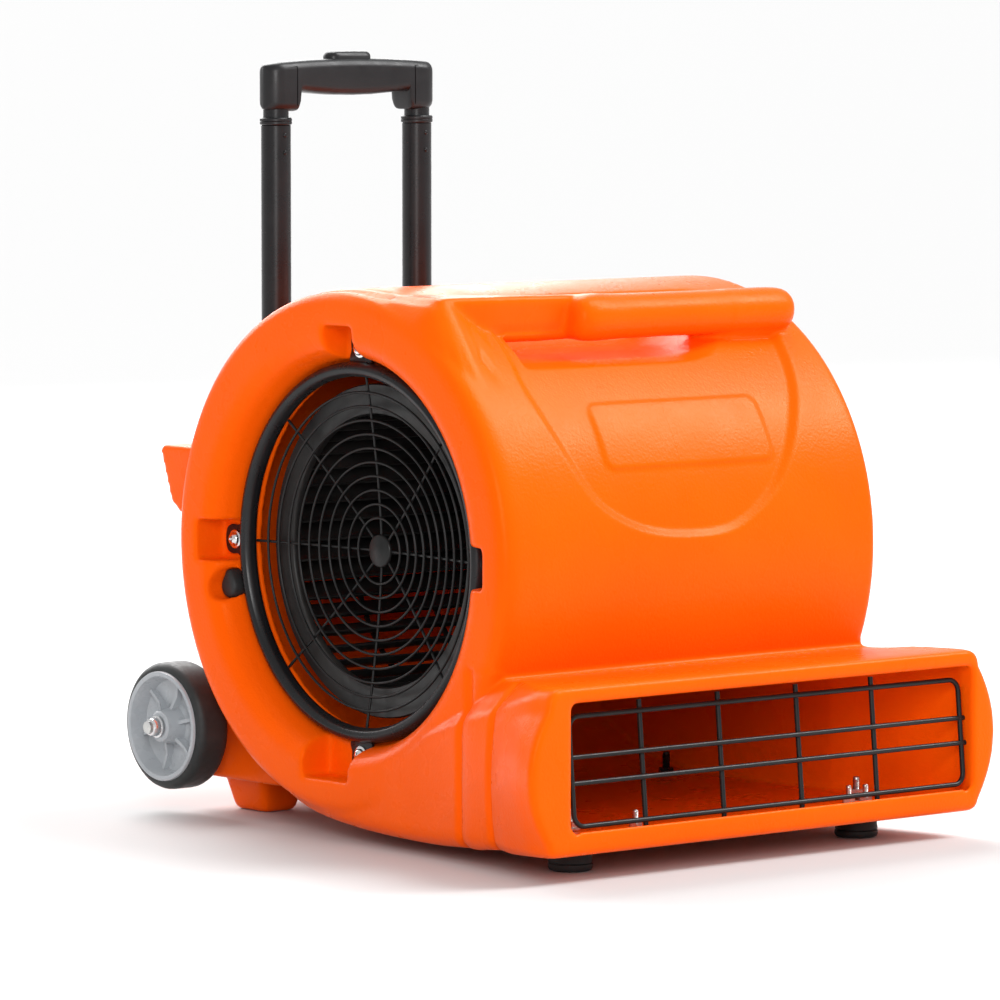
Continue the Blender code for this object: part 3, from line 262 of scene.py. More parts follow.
RUBBER = surface(
    "black_rubber", ((0.012, 0.012, 0.012), (0.024, 0.024, 0.024)), (0.45, 0.6), 600, bump=0.3, spec=0.3
)
TYRE = surface(
    "tyre_rubber", ((0.014, 0.015, 0.015), (0.028, 0.03, 0.03)), (0.42, 0.58), 500, bump=0.25, patch=30,
    spec=0.3,
)
GREY = surface(
    "grey_wheel_plastic", ((0.34, 0.36, 0.385), (0.42, 0.44, 0.46)), (0.24, 0.36), 500, bump=0.15, patch=25
)
BLACK_PLASTIC = surface(
    "black_plastic", ((0.007, 0.007, 0.008), (0.014, 0.014, 0.015)), (0.3, 0.42), 600, bump=0.3, spec=0.3
)
FAN_PLASTIC = surface(
    "impeller_plastic", ((0.01, 0.01, 0.01), (0.024, 0.022, 0.021)), (0.28, 0.45), 300, bump=0.2, patch=20
)
MOTOR_PAINT = surface("motor_paint", ((0.03, 0.03, 0.032), (0.05, 0.05, 0.052)), (0.35, 0.5), 500, bump=0.3)
COPPER = surface(
    "stator_windings", ((0.3, 0.12, 0.05), (0.45, 0.2, 0.09)), (0.3, 0.5), 900, metal=0.7, bump=0.5
)
CORE = surface(
    "rotor_core_steel", ((0.32, 0.32, 0.33), (0.46, 0.46, 0.47)), (0.28, 0.45), 700, metal=1, bump=0.2
)
GREY_CAN = surface(
    "capacitor_can", ((0.6, 0.6, 0.61), (0.74, 0.74, 0.75)), (0.25, 0.38), 600, metal=1, bump=0.1
)
DIAL_WHITE = surface("dial_marks", ((0.7, 0.7, 0.7), (0.82, 0.82, 0.82)), (0.4, 0.5), 600, bump=0.1)


# ---------------------------------------------------------------- mesh tools


def mesh_from(name, points, faces):
    """A closed mesh from points in millimetres, with its faces turned outwards."""
    mesh = bpy.data.meshes.new(name)
    mesh.from_pydata([Vector(p) * MM for p in points], [], faces)
    work = bmesh.new()
    work.from_mesh(mesh)
    bmesh.ops.recalc_face_normals(work, faces=work.faces)
    work.to_mesh(mesh)
    work.free()
    return mesh


def linked(name, mesh):
    obj = bpy.data.objects.new(name, mesh)
    bpy.context.scene.collection.objects.link(obj)
    return obj


def smooth_mesh(mesh, angle=35):
    for polygon in mesh.polygons:
        polygon.use_smooth = True
    mesh.set_sharp_from_angle(angle=math.radians(angle))


def baked(obj, drop=()):
    """Replaces the object's mesh with what its modifiers make, and removes the helpers named in drop."""
    bpy.context.view_layer.update()
    made = bpy.data.meshes.new_from_object(obj.evaluated_get(bpy.context.evaluated_depsgraph_get()))
    obj.modifiers.clear()
    obj.data = made
    for helper in drop:
        bpy.data.objects.remove(helper, do_unlink=True)
    return obj


def piece(name, mesh, material, stands_for=None, body="housing", bevel=0, angle=35):
    """A visible piece on a body, which may stand for a CAD node."""
    mesh.materials.clear()
    mesh.materials.append(material)
    obj = linked(name, mesh)
    if bevel:
        edge = obj.modifiers.new("edges", "BEVEL")
        edge.width = bevel * MM
        edge.segments = 2
        edge.limit_method = "ANGLE"
        edge.angle_limit = math.radians(angle)
        edge.use_clamp_overlap = True
        baked(obj)
    smooth_mesh(obj.data, angle)
    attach(obj, body)
    if stands_for:
        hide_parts(stands_for)
    return obj


def catmull(points, per=5, closed=False):
    """A smooth curve through the points, with per steps between each two."""
    pts = [np.array(p, float) for p in points]
    count = len(pts)
    spans = count if closed else count - 1
    found = []
    for k in range(spans):
        if closed:
            a, b, c, d = (pts[(k + j) % count] for j in (-1, 0, 1, 2))
        else:
            a, b, c, d = pts[max(k - 1, 0)], pts[k], pts[k + 1], pts[min(k + 2, count - 1)]
        for j in range(per):
            t = j / per
            found.append(
                0.5 * (
                    2 * b + (c - a) * t + (
                        2 * a - 5 * b + 4 * c - d
                    ) * t * t + (3 * b - a - 3 * c + d) * t ** 3
                )
            )
    if not closed:
        found.append(pts[-1])
    return [tuple(float(v) for v in p) for p in found]


def axis_frame(axis):
    return {
        "X": (Vector((1, 0, 0)), Vector((0, 1, 0)), Vector((0, 0, 1))),
        "Y": (Vector((0, 1, 0)), Vector((0, 0, 1)), Vector((1, 0, 0))),
        "Z": (Vector((0, 0, 1)), Vector((1, 0, 0)), Vector((0, 1, 0))),
    }[axis]


def turned(name, profile, centre, axis="X", steps=64, loop=False):
    """A turned solid. profile lists (along, radius). A loop makes a ring; the others start and end at 0."""
    along, side, up = axis_frame(axis)
    centre = Vector(centre)
    points = []
    rows = []
    for reach, radius in profile:
        if radius < 1e-6:
            rows.append([len(points)])
            points.append(centre + along * reach)
            continue
        row = []
        for k in range(steps):
            angle = TAU * k / steps
            row.append(len(points))
            points.append(
                centre + along * reach + side * (radius * math.cos(angle)) + up * (radius * math.sin(angle))
            )
        rows.append(row)
    faces = []
    pairs = list(zip(rows, rows[1:]))
    if loop:
        pairs.append((rows[-1], rows[0]))
    for first, second in pairs:
        for k in range(steps):
            n = (k + 1) % steps
            if len(first) == 1:
                faces.append((first[0], second[n], second[k]))
            elif len(second) == 1:
                faces.append((first[k], first[n], second[0]))
            else:
                faces.append((first[k], first[n], second[n], second[k]))
    return mesh_from(name, points, faces)


def rod(name, centre, axis, start, end, radius, steps=24):
    return turned(name, [(start, 0), (start, radius), (end, radius), (end, 0)], centre, axis, steps)


def block(name, low, high):
    points = [(x, y, z) for x in (low[0], high[0]) for y in (low[1], high[1]) for z in (low[2], high[2])]
    faces = [(0, 1, 3, 2), (4, 6, 7, 5), (0, 4, 5, 1), (2, 3, 7, 6), (0, 2, 6, 4), (1, 5, 7, 3)]
    return mesh_from(name, points, faces)


def prism(name, outline, low, high):
    """An outline of (y, z) points drawn out along X."""
    return loft(name, [[(x, y, z) for y, z in outline] for x in (low, high)])


def loft(name, sections):
    """A closed solid through sections that have the same number of points."""
    count = len(sections[0])
    points = [point for section in sections for point in section]
    faces = [tuple(range(count)), tuple(range(len(points) - count, len(points)))]
    for row in range(len(sections) - 1):
        for k in range(count):
            n = (k + 1) % count
            a = row * count
            b = a + count
            faces.append((a + k, a + n, b + n, b + k))
    return mesh_from(name, points, faces)


def rounded(half_a, half_b, radius, steps=6):
    """A rounded rectangle around 0, 0."""
    outline = []
    for quarter, (sa, sb) in enumerate(((1, 1), (-1, 1), (-1, -1), (1, -1))):
        for k in range(steps + 1):
            angle = TAU * (quarter + k / steps) / 4
            a = sa * (half_a - radius) + radius * math.cos(angle)
            b = sb * (half_b - radius) + radius * math.sin(angle)
            outline.append((a, b))
    return outline


def arc(centre, radius, start, end, steps):
    """Points (y, z) on an arc. Angles are in degrees from +Y towards +Z."""
    found = []
    for k in range(steps + 1):
        angle = math.radians(start + (end - start) * k / steps)
        found.append((centre[0] + radius * math.cos(angle), centre[1] + radius * math.sin(angle)))
    return found


def tube(path, radius, steps=10, closed=False):
    """A round wire along a path, as a mesh."""
    path = [Vector(p) for p in path]
    count = len(path)
    points = []
    side = None
    for index, point in enumerate(path):
        if closed:
            forward = (path[(index + 1) % count] - path[index - 1]).normalized()
        else:
            forward = (path[min(index + 1, count - 1)] - path[max(index - 1, 0)]).normalized()
        if side is None:
            seed = Vector((0, 0, 1)) if abs(forward.z) < 0.9 else Vector((0, 1, 0))
            side = forward.cross(seed)
        side = (side - forward * side.dot(forward)).normalized()
        up = forward.cross(side)
        for k in range(steps):
            angle = TAU * k / steps
            points.append(point + side * (radius * math.cos(angle)) + up * (radius * math.sin(angle)))
    faces = []
    for row in range(count if closed else count - 1):
        a = row * steps
        b = ((row + 1) % count) * steps
        faces += [(a + k, a + (k + 1) % steps, b + (k + 1) % steps, b + k) for k in range(steps)]
    if not closed:
        faces += [tuple(range(steps)), tuple(range(len(points) - steps, len(points)))]
    return mesh_from("wire", points, faces)


def joined(name, meshes):
    work = bmesh.new()
    for mesh in meshes:
        work.from_mesh(mesh)
    made = bpy.data.meshes.new(name)
    work.to_mesh(made)
    work.free()
    return made


def boolean(obj, meshes, operation):
    """Unites or subtracts closed meshes in one exact Boolean."""
    helper = linked("helper", joined("helper", meshes))
    step = obj.modifiers.new("step", "BOOLEAN")
    step.object = helper
    step.operation = operation
    step.solver = "EXACT"
    step.use_self = True
    baked(obj, [helper])
    work = bmesh.new()
    work.from_mesh(obj.data)
    bmesh.ops.remove_doubles(work, verts=work.verts, dist=0.0005 * MM)
    work.to_mesh(obj.data)
    work.free()
    return obj


def solid(meshes, minus=()):
    """One mesh: the union of the meshes, less the ones in minus."""
    obj = linked("solid", meshes[0])
    if len(meshes) > 1:
        boolean(obj, meshes[1:], "UNION")
    if minus:
        boolean(obj, list(minus), "DIFFERENCE")
    made = obj.data
    bpy.data.objects.remove(obj, do_unlink=True)
    return made


def spun(mesh, degrees, centre=CENTRE, axis="X"):
    """Turns a mesh round an axis through a centre given in millimetres."""
    shift = Matrix.Translation(Vector(centre) * MM)
    mesh.transform(shift @ Matrix.Rotation(math.radians(degrees), 4, axis) @ shift.inverted())
    return mesh


def around(radius, angle):
    """The (y, z) point at a radius from the drum's axis. The angle is from +Y towards +Z."""
    return DRUM_Y + radius * math.cos(angle), DRUM_Z + radius * math.sin(angle)


def ramp_to(value, low, high):
    share = np.clip((value - low) / (high - low), 0, 1)
    return share * share * (3 - 2 * share)


# ---------------------------------------------------------------- shell


DUCT = (
    # y, half width, bottom, ridge, top, shoulder, corner, bow of the side
    (-283, 218.6, 22.9, 140.5, 144.8, 7, 5, 16),
    (-280, 220.4, 20.4, 141, 145.8, 7.5, 8, 17.5),
    (-272, 220.4, 19.2, 141, 146.4, 9, 9, 15.8),
    (-255, 219.6, 18.5, 139, 146, 11, 9, 12),
    (-228, 213.6, 17.6, 131.5, 144.6, 17, 10, 7),
    (-203, 208, 16.6, 124, 143, 22, 11, 3),
    (-154, 200, 12.6, 112, 139, 23, 12, 0),
    (-100, 193, 9.5, 96, 130, 19, 12, 0),
    (-20, 188, 11, 74, 110, 15, 12, 0),
    (50, 182, 17.5, 68, 100, 14, 12, 0),
    (100, 172, 31, 72, 100, 14, 10, 0),
    (128, 160, 44, 78, 100, 14, 9, 0),
)


def duct_body():
    """The outlet body: bowed cheeks up to a rounded ridge, then a sloping shoulder to the flat top."""
    sections = []
    for y, half, bottom, ridge, top, shoulder, corner, bow in catmull(DUCT, 4):
        foot = [
            (half - corner * (1 - math.sin(t)), bottom + corner * (1 - math.cos(t)))
            for t in (0, 0.5, 1.1, 1.57)
        ]

        def bowed(high):
            low = bottom + corner
            shares = [step / 12 for step in range(1, 12)]
            return [(half + 4 * bow * t * (1 - t), low + (high - low) * t) for t in shares] + [(half, high)]

        right = foot + bowed(top - 12) + [(half - 1.2, top - 6), (half - 4, top - 2.2), (half - 9, top)]
        right += [(half - 20, top)]
        rise = top - ridge
        left = foot + bowed(ridge - 12) + [(half - 1, ridge - 4.5), (half - 3.6, ridge)]
        left += [
            (half - 3.6 - 0.7 * (shoulder - 3.6), ridge + 0.62 * rise), (half - shoulder - 4, top - 0.6)
        ]
        sections.append([(x, y, z) for x, z in right] + [(-x, y, z) for x, z in reversed(left)])
    return loft("outlet_body", sections)


def lip_profile():
    """From the right wall, over the shoulder and flat face of the intake lip, to the foot of the dish."""
    right = [(DRUM_RIGHT, 0), (DRUM_RIGHT, 197), (191.4, 200.2), (189.6, 202.6), (186.5, DRUM_R)]
    lip = [(-170, DRUM_R), (-175.5, 203.9), (-180, 203.2), (-184, 201.8), (-187, 199.4), (-189, 196)]
    lip += [(-189.8, 192.5), (DRUM_LEFT, 188), (DRUM_LEFT, CREST_R)]
    return right + lip + dish_profile()


def dish_profile():
    slope = [(-189.7, 168), (-188.2, 163.2), (-184.5, 158), (-178.8, 154.4), (-172, 152)]
    return slope + [(-156, 148.6), (-156, 0)]


def bar_body():
    """The round grip of the carrying bar, with a knuckle at its root and a domed free end."""
    sections = []
    for x, scale in (
        (KNUCKLE_X - 6, 0.55),
        (KNUCKLE_X - 3, 0.82),
        (KNUCKLE_X + 2, 0.97),
        (KNUCKLE_X + 9, 1.04),
        (KNUCKLE_X + 20, 1.05),
        (KNUCKLE_X + 40, 1),
        (50, 0.985),
        (105, 0.985),
        (107, 1.01),
        (150, 1.01),
        (162, 0.995),
        (169, 0.93),
        (173.5, 0.79),
        (175.6, 0.6),
        (BAR_RIGHT, 0.4),
    ):
        outline = rounded(scale * BAR_DEPTH / 2, scale * BAR_HEIGHT / 2, scale * 16.6, 7)
        sections.append([(x, BAR_Y + a, BAR_Z + b) for a, b in outline])
    return loft("bar", sections)


def slab_body():
    """The flat root of the carrying bar. It leans back, and its left end slants up onto the shoulder."""
    sections = []
    for x, front, back, low, high in (
        (-170, SLAB_FRONT + 4, -20, 419, 424),
        (-160, SLAB_FRONT + 2, -24, 413.5, 424.5),
        (-145, SLAB_FRONT + 1, -30, 405, 424.5),
        (-130, SLAB_FRONT, -40, 396, 424.5),
        (-120, SLAB_FRONT, -44, 389, 424.5),
        (-100, SLAB_FRONT, -84, 388.5, 424.5),
        (KNUCKLE_X - 20, SLAB_FRONT, -84, 388.5, 424),
        (KNUCKLE_X + 12, SLAB_FRONT - 2, -86, 389.5, 423.5),
    ):
        depth = back - front
        tall = high - low
        outline = rounded(depth / 2, tall / 2, min(5, 0.45 * tall), 5)
        sections.append([(x, (front + back) / 2 + a - 0.22 * b, (low + high) / 2 + b) for a, b in outline])
    return loft("slab", sections)


def on_drum(turn, radius):
    """The (y, z) point at an angle above the front and a radius from the drum's axis."""
    angle = math.radians(turn)
    return DRUM_Y - radius * math.cos(angle), DRUM_Z + radius * math.sin(angle)


def roll_body():
    """The shoulder under the slab's left end: a crest at each X, with flanks at a tangent to the drum."""
    sections = []
    for x, crest, base in (
        (-187, 203, 197.5),
        (-183, 211, 200.5),
        (-178, 217.5, 202.5),
        (-171, 222.5, 203.4),
        (-164, 224, 203.4),
        (-156, 220, 203.4),
        (-146, 214.5, 203.4),
        (-136, 209, 203.4),
        (-126, 204.2, 203.4),
    ):
        spread = math.degrees(math.acos(base / crest))
        flank = ((spread, 150), (spread, base), (1.2, crest - 0.4))
        row = [*flank, (0, crest)] + [(-turn, radius) for turn, radius in flank[::-1]]
        sections.append([(x, *on_drum(ROLL_TURN + turn, radius)) for turn, radius in row])
    return loft("roll", sections)


def beam_body():
    outline = [(186, BEAM_TOP), (BEAM_BACK - 4, BEAM_TOP), (BEAM_BACK, BEAM_TOP - 4)]
    outline += [(BEAM_BACK, BEAM_BOTTOM + 10), (BEAM_BACK - 8, BEAM_BOTTOM), (186, BEAM_BOTTOM - 5)]
    slope = BEAM_TAPER / (BEAM_TOP - BEAM_BOTTOM)
    ends = []
    for side in (-1, 1):
        ends.append([(side * (BEAM_HALF - slope * (BEAM_TOP - z)), y, z) for y, z in outline])
    return loft("beam", ends)


def block_body():
    outline = [(118, BLOCK_TOP), (118, 44), (136, BLOCK_BOTTOM), (BLOCK_BACK - 8, BLOCK_BOTTOM)]
    outline += [(BLOCK_BACK, BLOCK_BOTTOM + 8), (BLOCK_BACK, BLOCK_TOP - 8), (BLOCK_BACK - 8, BLOCK_TOP)]
    return prism("axle_block", outline, -BLOCK_HALF, BLOCK_HALF)


def skid_body(x):
    sections = []
    for z, grow in ((BLOCK_BOTTOM + 4, 1), (3, 0.72), (0, 0.62)):
        outline = rounded(24 * grow, 30 * grow, 8 * grow, 3)
        sections.append([(x + a, 205 + b, z) for a, b in outline])
    return loft("skid", sections)


def cavity_body():
    centre = (DRUM_Y, DRUM_Z)
    radius = DRUM_R - WALL
    outline = [(-112, 146), (-118, 151), (-172, 153)]
    outline += arc(centre, radius, 199, 146, 20)
    outline += [(-126, 352), (-78, 363), (-44, 377), (-38, 412)]
    outline += arc(centre, radius, 99, -84, 64)
    outline += [(-60, 24), (-150, 26), (-232, 28.6), (-232, 136.5), (-124, 136.5), (-114, 139)]
    return prism("cavity", outline, -151, DRUM_RIGHT - WALL)


def mouth_body():
    sections = []
    for y, left, right, low, high, corner in (
        (-140, -149, 184, 27.5, 131.5, 3),
        (-228, -192, 203, 30, 132.5, 5),
        (-262, MOUTH_LEFT, MOUTH_RIGHT, 31, 134.5, 5),
        (-276, MOUTH_LEFT, MOUTH_RIGHT, 32, 134.5, 5),
        (-281.5, MOUTH_LEFT, MOUTH_RIGHT, MOUTH_BOTTOM, MOUTH_TOP, 5),
        (-300, MOUTH_LEFT, MOUTH_RIGHT, MOUTH_BOTTOM, MOUTH_TOP, 5),
    ):
        outline = rounded((right - left) / 2, (high - low) / 2, corner, 5)
        sections.append([((left + right) / 2 + a, y, (low + high) / 2 + b) for a, b in outline])
    return loft("mouth", sections)


def channels():
    made = []
    for turn, (low, high) in enumerate(((-16, 16), (-16, 20), (-16, 16), (-14, 42))):
        channel = block("channel", (-200, DRUM_Y + 141, DRUM_Z + low), (-161, DRUM_Y + 176, DRUM_Z + high))
        made.append(spun(channel, 90 * turn))
    return made


def shell_holes():
    holes = []
    for x in (-FOOT_X, FOOT_X):
        holes.append(rod("foot_hole", (x, FOOT_Y, 0), "Z", 5, 40, BOLT_R + 0.3, 16))
    for x in (-TUBE_X, TUBE_X):
        holes.append(rod("tube_hole", (x, TUBE_Y, 0), "Z", OUTER_FOOT - 0.5, 330, OUTER_R + 0.3, 32))
    holes.append(rod("axle_hole", (0, AXLE_Y, AXLE_Z), "X", -160, 160, AXLE_R + 0.3, 20))
    holes.append(rod("motor_hole", CENTRE, "X", 180, 200, 80, 64))
    holes.append(block("switch_hole", (180, PANEL_Y - 17, PANEL_Z - 17), (200, PANEL_Y + 17, PANEL_Z + 17)))
    holes.append(rod("gland_hole", (0, GLAND_Y, GLAND_Z), "X", 180, 200, 8.2, 24))
    holes.append(loft("plug_pocket", [teardrop(1.08, -200), teardrop(1.08, PLUG_FLOOR)]))
    return holes


def teardrop(scale, x):
    y, z = around(PLUG_R, math.radians(PLUG_TURN))
    outline = arc((0, 0), 9, 150, 390, 20) + [(2.5, 13.5), (-2.5, 13.5)]
    return [(x, y + a * scale, z + b * scale) for a, b in outline]


BASIN_EDGE = (
    # x and the angle above the front, in degrees
    (-121, 78),
    (-122, 62),
    (-127, 51),
    (-131, 43.5),
    (-130, 38),
    (-123.5, 30),
    (-111, 20.5),
    (-95, 13),
    (-66, 7.8),
    (-30, 5),
    (20, 4.4),
    (54, 6.4),
    (88, 12.5),
    (110, 19.5),
    (129, 28),
    (147, 38.5),
    (160, 52),
    (165, 66),
    (165, 78),
)


def inside_distance(px, py, outline):
    """Signed distance from each point to a closed outline, positive inside."""
    best = np.full(px.shape, 1e9)
    inside = np.zeros(px.shape, bool)
    count = len(outline)
    for k in range(count):
        ax, ay = outline[k]
        bx, by = outline[(k + 1) % count]
        ex, ey = bx - ax, by - ay
        share = np.clip(((px - ax) * ex + (py - ay) * ey) / (ex * ex + ey * ey + 1e-12), 0, 1)
        best = np.minimum(best, np.hypot(px - ax - share * ex, py - ay - share * ey))
        if abs(ey) > 1e-9:
            inside ^= ((ay > py) != (by > py)) & (px < ex * (py - ay) / ey + ax)
    return np.where(inside, best, -best)


def shape_skin(mesh):
    """Presses the basin, the plaque, the shoulder grooves and the cheek bands into the outer skin."""
    co, no = np.empty((2, len(mesh.vertices) * 3))
    mesh.vertices.foreach_get("co", co)
    mesh.vertices.foreach_get("normal", no)
    co = co.reshape(-1, 3) / MM
    no = no.reshape(-1, 3)
    x = co[:, 0]
    y = co[:, 1] - DRUM_Y
    z = co[:, 2] - DRUM_Z
    radius = np.hypot(y, z)
    turn = np.degrees(np.arctan2(z, -y))
    radial = (no[:, 1] * y + no[:, 2] * z) / np.maximum(radius, 1)
    skin = ramp_to(radial, 0.15, 0.5) * ramp_to(radius, 196, 199) * (1 - ramp_to(radius, 205.5, 208))
    along = np.radians(turn) * DRUM_R
    edge = [(a, math.radians(b) * DRUM_R) for a, b in catmull(BASIN_EDGE, 6)]
    deep = inside_distance(x, along, edge)
    share = np.clip(deep / BASIN_WALL, 0, 1)
    share = 0.55 * share + 0.45 * share * share * (3 - 2 * share)
    basin = BASIN_DEPTH * share * (1 - ramp_to(turn, 58, 70))
    panel = [(11.5 + a, 101.5 + b) for a, b in rounded(86, 28.5, 9, 6)]
    rise = ramp_to(inside_distance(x, along, panel), -1.6, 2.4)
    valley = np.interp(turn, (44, 54, 62, 73, 80, 95), (-150, -157, -163, -171, -175, -177))
    fade = 1 - ramp_to(turn, 118, 140)
    groove = 2.6 * np.exp(-(((x - valley) / 4.6) ** 2)) * (ramp_to(turn, 40, 52) * fade)
    second = 1.7 * np.exp(-(((x - valley - 17) / 4) ** 2)) * ramp_to(turn, 58, 74) * fade
    shoulder = ramp_to(radial, 0.1, 0.3) * ramp_to(radius, 184, 190) * (1 - ramp_to(radius, 205.5, 208))
    over = np.maximum(radius - DRUM_R + basin - PLAQUE_PROUD * rise, 0) * (deep > 0)
    move = -over * skin - (groove + second) * shoulder
    co[:, 1] += move * y / np.maximum(radius, 1)
    co[:, 2] += move * z / np.maximum(radius, 1)
    half = np.interp(-co[:, 1], [-row[0] for row in reversed(DUCT)], [row[1] for row in reversed(DUCT)])
    cheek = ramp_to(np.abs(x), half - 34, half - 22) * ramp_to(no[:, 0] * np.sign(x), 0.05, 0.35)
    cheek *= 1 - ramp_to(co[:, 2], 146.5, 150)
    yy = co[:, 1]
    band = -3.4 * np.exp(-(((yy + 154) / 3.2) ** 2)) - 3.4 * np.exp(-(((yy + 201) / 3.2) ** 2))
    for start, crown, end in ((-201, -170, -154), (-262, -222, -201)):
        band += 1.3 * ramp_to(yy, start, crown) * (1 - ramp_to(yy, crown, end))
    co += no * (band * cheek)[:, None]
    mesh.vertices.foreach_set("co", (co * MM).reshape(-1))
    mesh.update()


def well_body():
    """The finger well: a floor at a tangent to the drum, which rises back to it at the right end."""
    floor = [(-152.8, 349.6), (-146, 357.5), (-138, 364.5), (-128, 370), (-115, 373.5), (-95, 375.5)]
    floor += [(-75, 377), (-58, 381), (-50, 389), (-47, 400)]
    sections = []
    for x in (WELL_LEFT, 40, 55, 70, 85, 100, 115, 130, WELL_RIGHT):
        share = float(ramp_to(x, 40, 135))
        row = []
        for y, z in floor:
            skin = DRUM_Z + math.sqrt(DRUM_R ** 2 - (y - DRUM_Y) ** 2)
            row.append((x, y, z + share * (skin - z)))
        sections.append(row + [(x, -47, 440), (x, -175, 440), (x, -175, 349.6)])
    return loft("well", sections)


def shell():
    drum = turned("drum", lip_profile(), CENTRE, "X", DRUM_STEPS)
    right_pad = block("right_pad", (WELL_RIGHT, BAR_Y, 384), (BAR_RIGHT - 6, -48, 420))
    body = linked("housing_visual", drum)
    boolean(body, [duct_body(), beam_body(), block_body(), skid_body(-SKID_X), skid_body(SKID_X)], "UNION")
    boolean(body, [bar_body(), slab_body(), roll_body(), right_pad], "UNION")
    boolean(body, [cavity_body(), mouth_body()], "DIFFERENCE")
    trench = solid([well_body()], [bar_body(), slab_body(), roll_body()])
    boolean(body, [trench], "DIFFERENCE")
    dish = [(-260, 0), (-260, CREST_R), (DRUM_LEFT, CREST_R)] + dish_profile()
    boolean(body, [turned("dish", dish, CENTRE, "X", DRUM_STEPS)], "DIFFERENCE")
    boolean(body, [rod("intake_hole", CENTRE, "X", -158, -145, 139.5, 96)], "DIFFERENCE")
    boolean(body, channels() + shell_holes(), "DIFFERENCE")
    remesh = body.modifiers.new("skin", "REMESH")
    remesh.mode = "VOXEL"
    remesh.voxel_size = VOXEL * MM
    soften = body.modifiers.new("soften", "SMOOTH")
    soften.factor = 0.5
    soften.iterations = 5
    baked(body)
    shape_skin(body.data)
    settle = body.modifiers.new("settle", "SMOOTH")
    settle.factor = 0.4
    settle.iterations = 1
    baked(body)
    mesh = body.data
    bpy.data.objects.remove(body, do_unlink=True)
    piece("shell", mesh, ORANGE, "housing_shell", angle=180)


# ---------------------------------------------------------------- intake


def intake_ring():
    curl = [(-156.3, RING_OUT_R), (-163, RING_OUT_R), (-167, RING_OUT_R - 0.8), (-170, RING_OUT_R - 3.2)]
    curl += [
        (RING_FRONT, RING_OUT_R - 6), (-170, RING_IN_R + 2.8), (-167, RING_IN_R + 0.7), (-163, RING_IN_R)
    ]
    curl += [(-159.5, RING_IN_R + 1), (-157, RING_IN_R + 4), (-156.3, RING_IN_R + 8)]
    parts = [turned("ring", curl, CENTRE, "X", 128, True)]
    holes = []
    for turn in range(4):
        y, z = around(RING_SCREW_R, math.radians(90 * turn))
        outline = catmull(
            [(-14, -13), (-7, -13.2), (-2, -11.4), (5, -11.6), (10.5, -9), (12.6, -3), (12.6, 3)], 4
        )
        outline += catmull([(12.6, 3), (10.5, 9), (5, 11.6), (-2, 11.4), (-7, 13.2), (-14, 13)], 4)[1:]
        tab = prism("tab", [(DRUM_Y + RING_SCREW_R + a, DRUM_Z + b) for a, b in outline], -163.8, -161.3)
        parts.append(spun(tab, 90 * turn))
        holes.append(rod("hole", (0, y, z), "X", -170, -155, 2.5, 16))
    piece("intake_ring_visual", solid(parts, holes), BLACK_STEEL, "intake_ring", bevel=0.6)


def guard_depth(radius):
    return GUARD_HUB_X + (GUARD_RIM_X - GUARD_HUB_X) * min(radius / RING_IN_R, 1) ** 1.6


def intake_guard():
    """Concentric wires welded to eight spokes round a pressed hub disc."""
    parts = []
    radii = [GUARD_FIRST_R + GUARD_PITCH * k for k in range(GUARD_RINGS)]
    for radius in radii:
        x = guard_depth(radius)
        ring = [(x, *around(radius, TAU * k / 96)) for k in range(96)]
        parts.append(tube(ring, 1.05, 8, True))
    for spoke in range(8):
        angle = TAU * spoke / 8
        path = []
        for k in range(20):
            radius = 10 + (RING_IN_R + 1.5 - 10) * k / 19
            path.append((guard_depth(radius) + 1.9, *around(radius, angle)))
        parts.append(tube(path, 1.1, 8))
    hub = [
        (-146.8, 0), (-146.8, 5), (-146, 6.6), (-146, 11.6), (-145.2, 12.8), (-143.6, 13), (-143, 12),
        (-143, 0),
    ]
    parts.append(turned("hub", hub, CENTRE, "X", 48))
    piece("intake_guard_visual", joined("intake_guard", parts), WIRE_COAT, "intake_guard", angle=50)


def phillips(seat, direction, centre, length, head=5.4, shank=2, axis="X", washer=1.6):
    """A pan-head screw on its washer, with a cross recess."""
    d = direction
    profile = [
        (seat - d * length, 0), (seat - d * length, shank), (seat + 0.05 * d, shank),
        (seat + 0.05 * d, head + washer),
    ]
    profile += [
        (seat + d * 0.8, head + washer + 0.2), (seat + d * 1.1, head + washer - 0.3),
        (seat + d * 1.15, head),
    ]
    profile += [
        (seat + d * 2.6, head * 0.97), (seat + d * 3.7, head * 0.8), (seat + d * 4.4, head * 0.45),
        (seat + d * 4.6, 0),
    ]
    along, side, up = axis_frame(axis)
    centre = Vector(centre)
    cuts = []
    for a, b in ((side, up), (up, side)):
        start = centre + along * (seat + d * 2.4)
        end = centre + along * (seat + d * 6)
        ends = []
        for base, reach, wide in ((start, 1.6, 0.5), (end, 3.4, 0.8)):
            corners = ((-1, -1), (1, -1), (1, 1), (-1, 1))
            ends.append([base + a * (p * reach) + b * (q * wide) for p, q in corners])
        cuts.append(loft("recess", ends))
    return solid([turned("screw", profile, centre, axis, 32)], cuts)


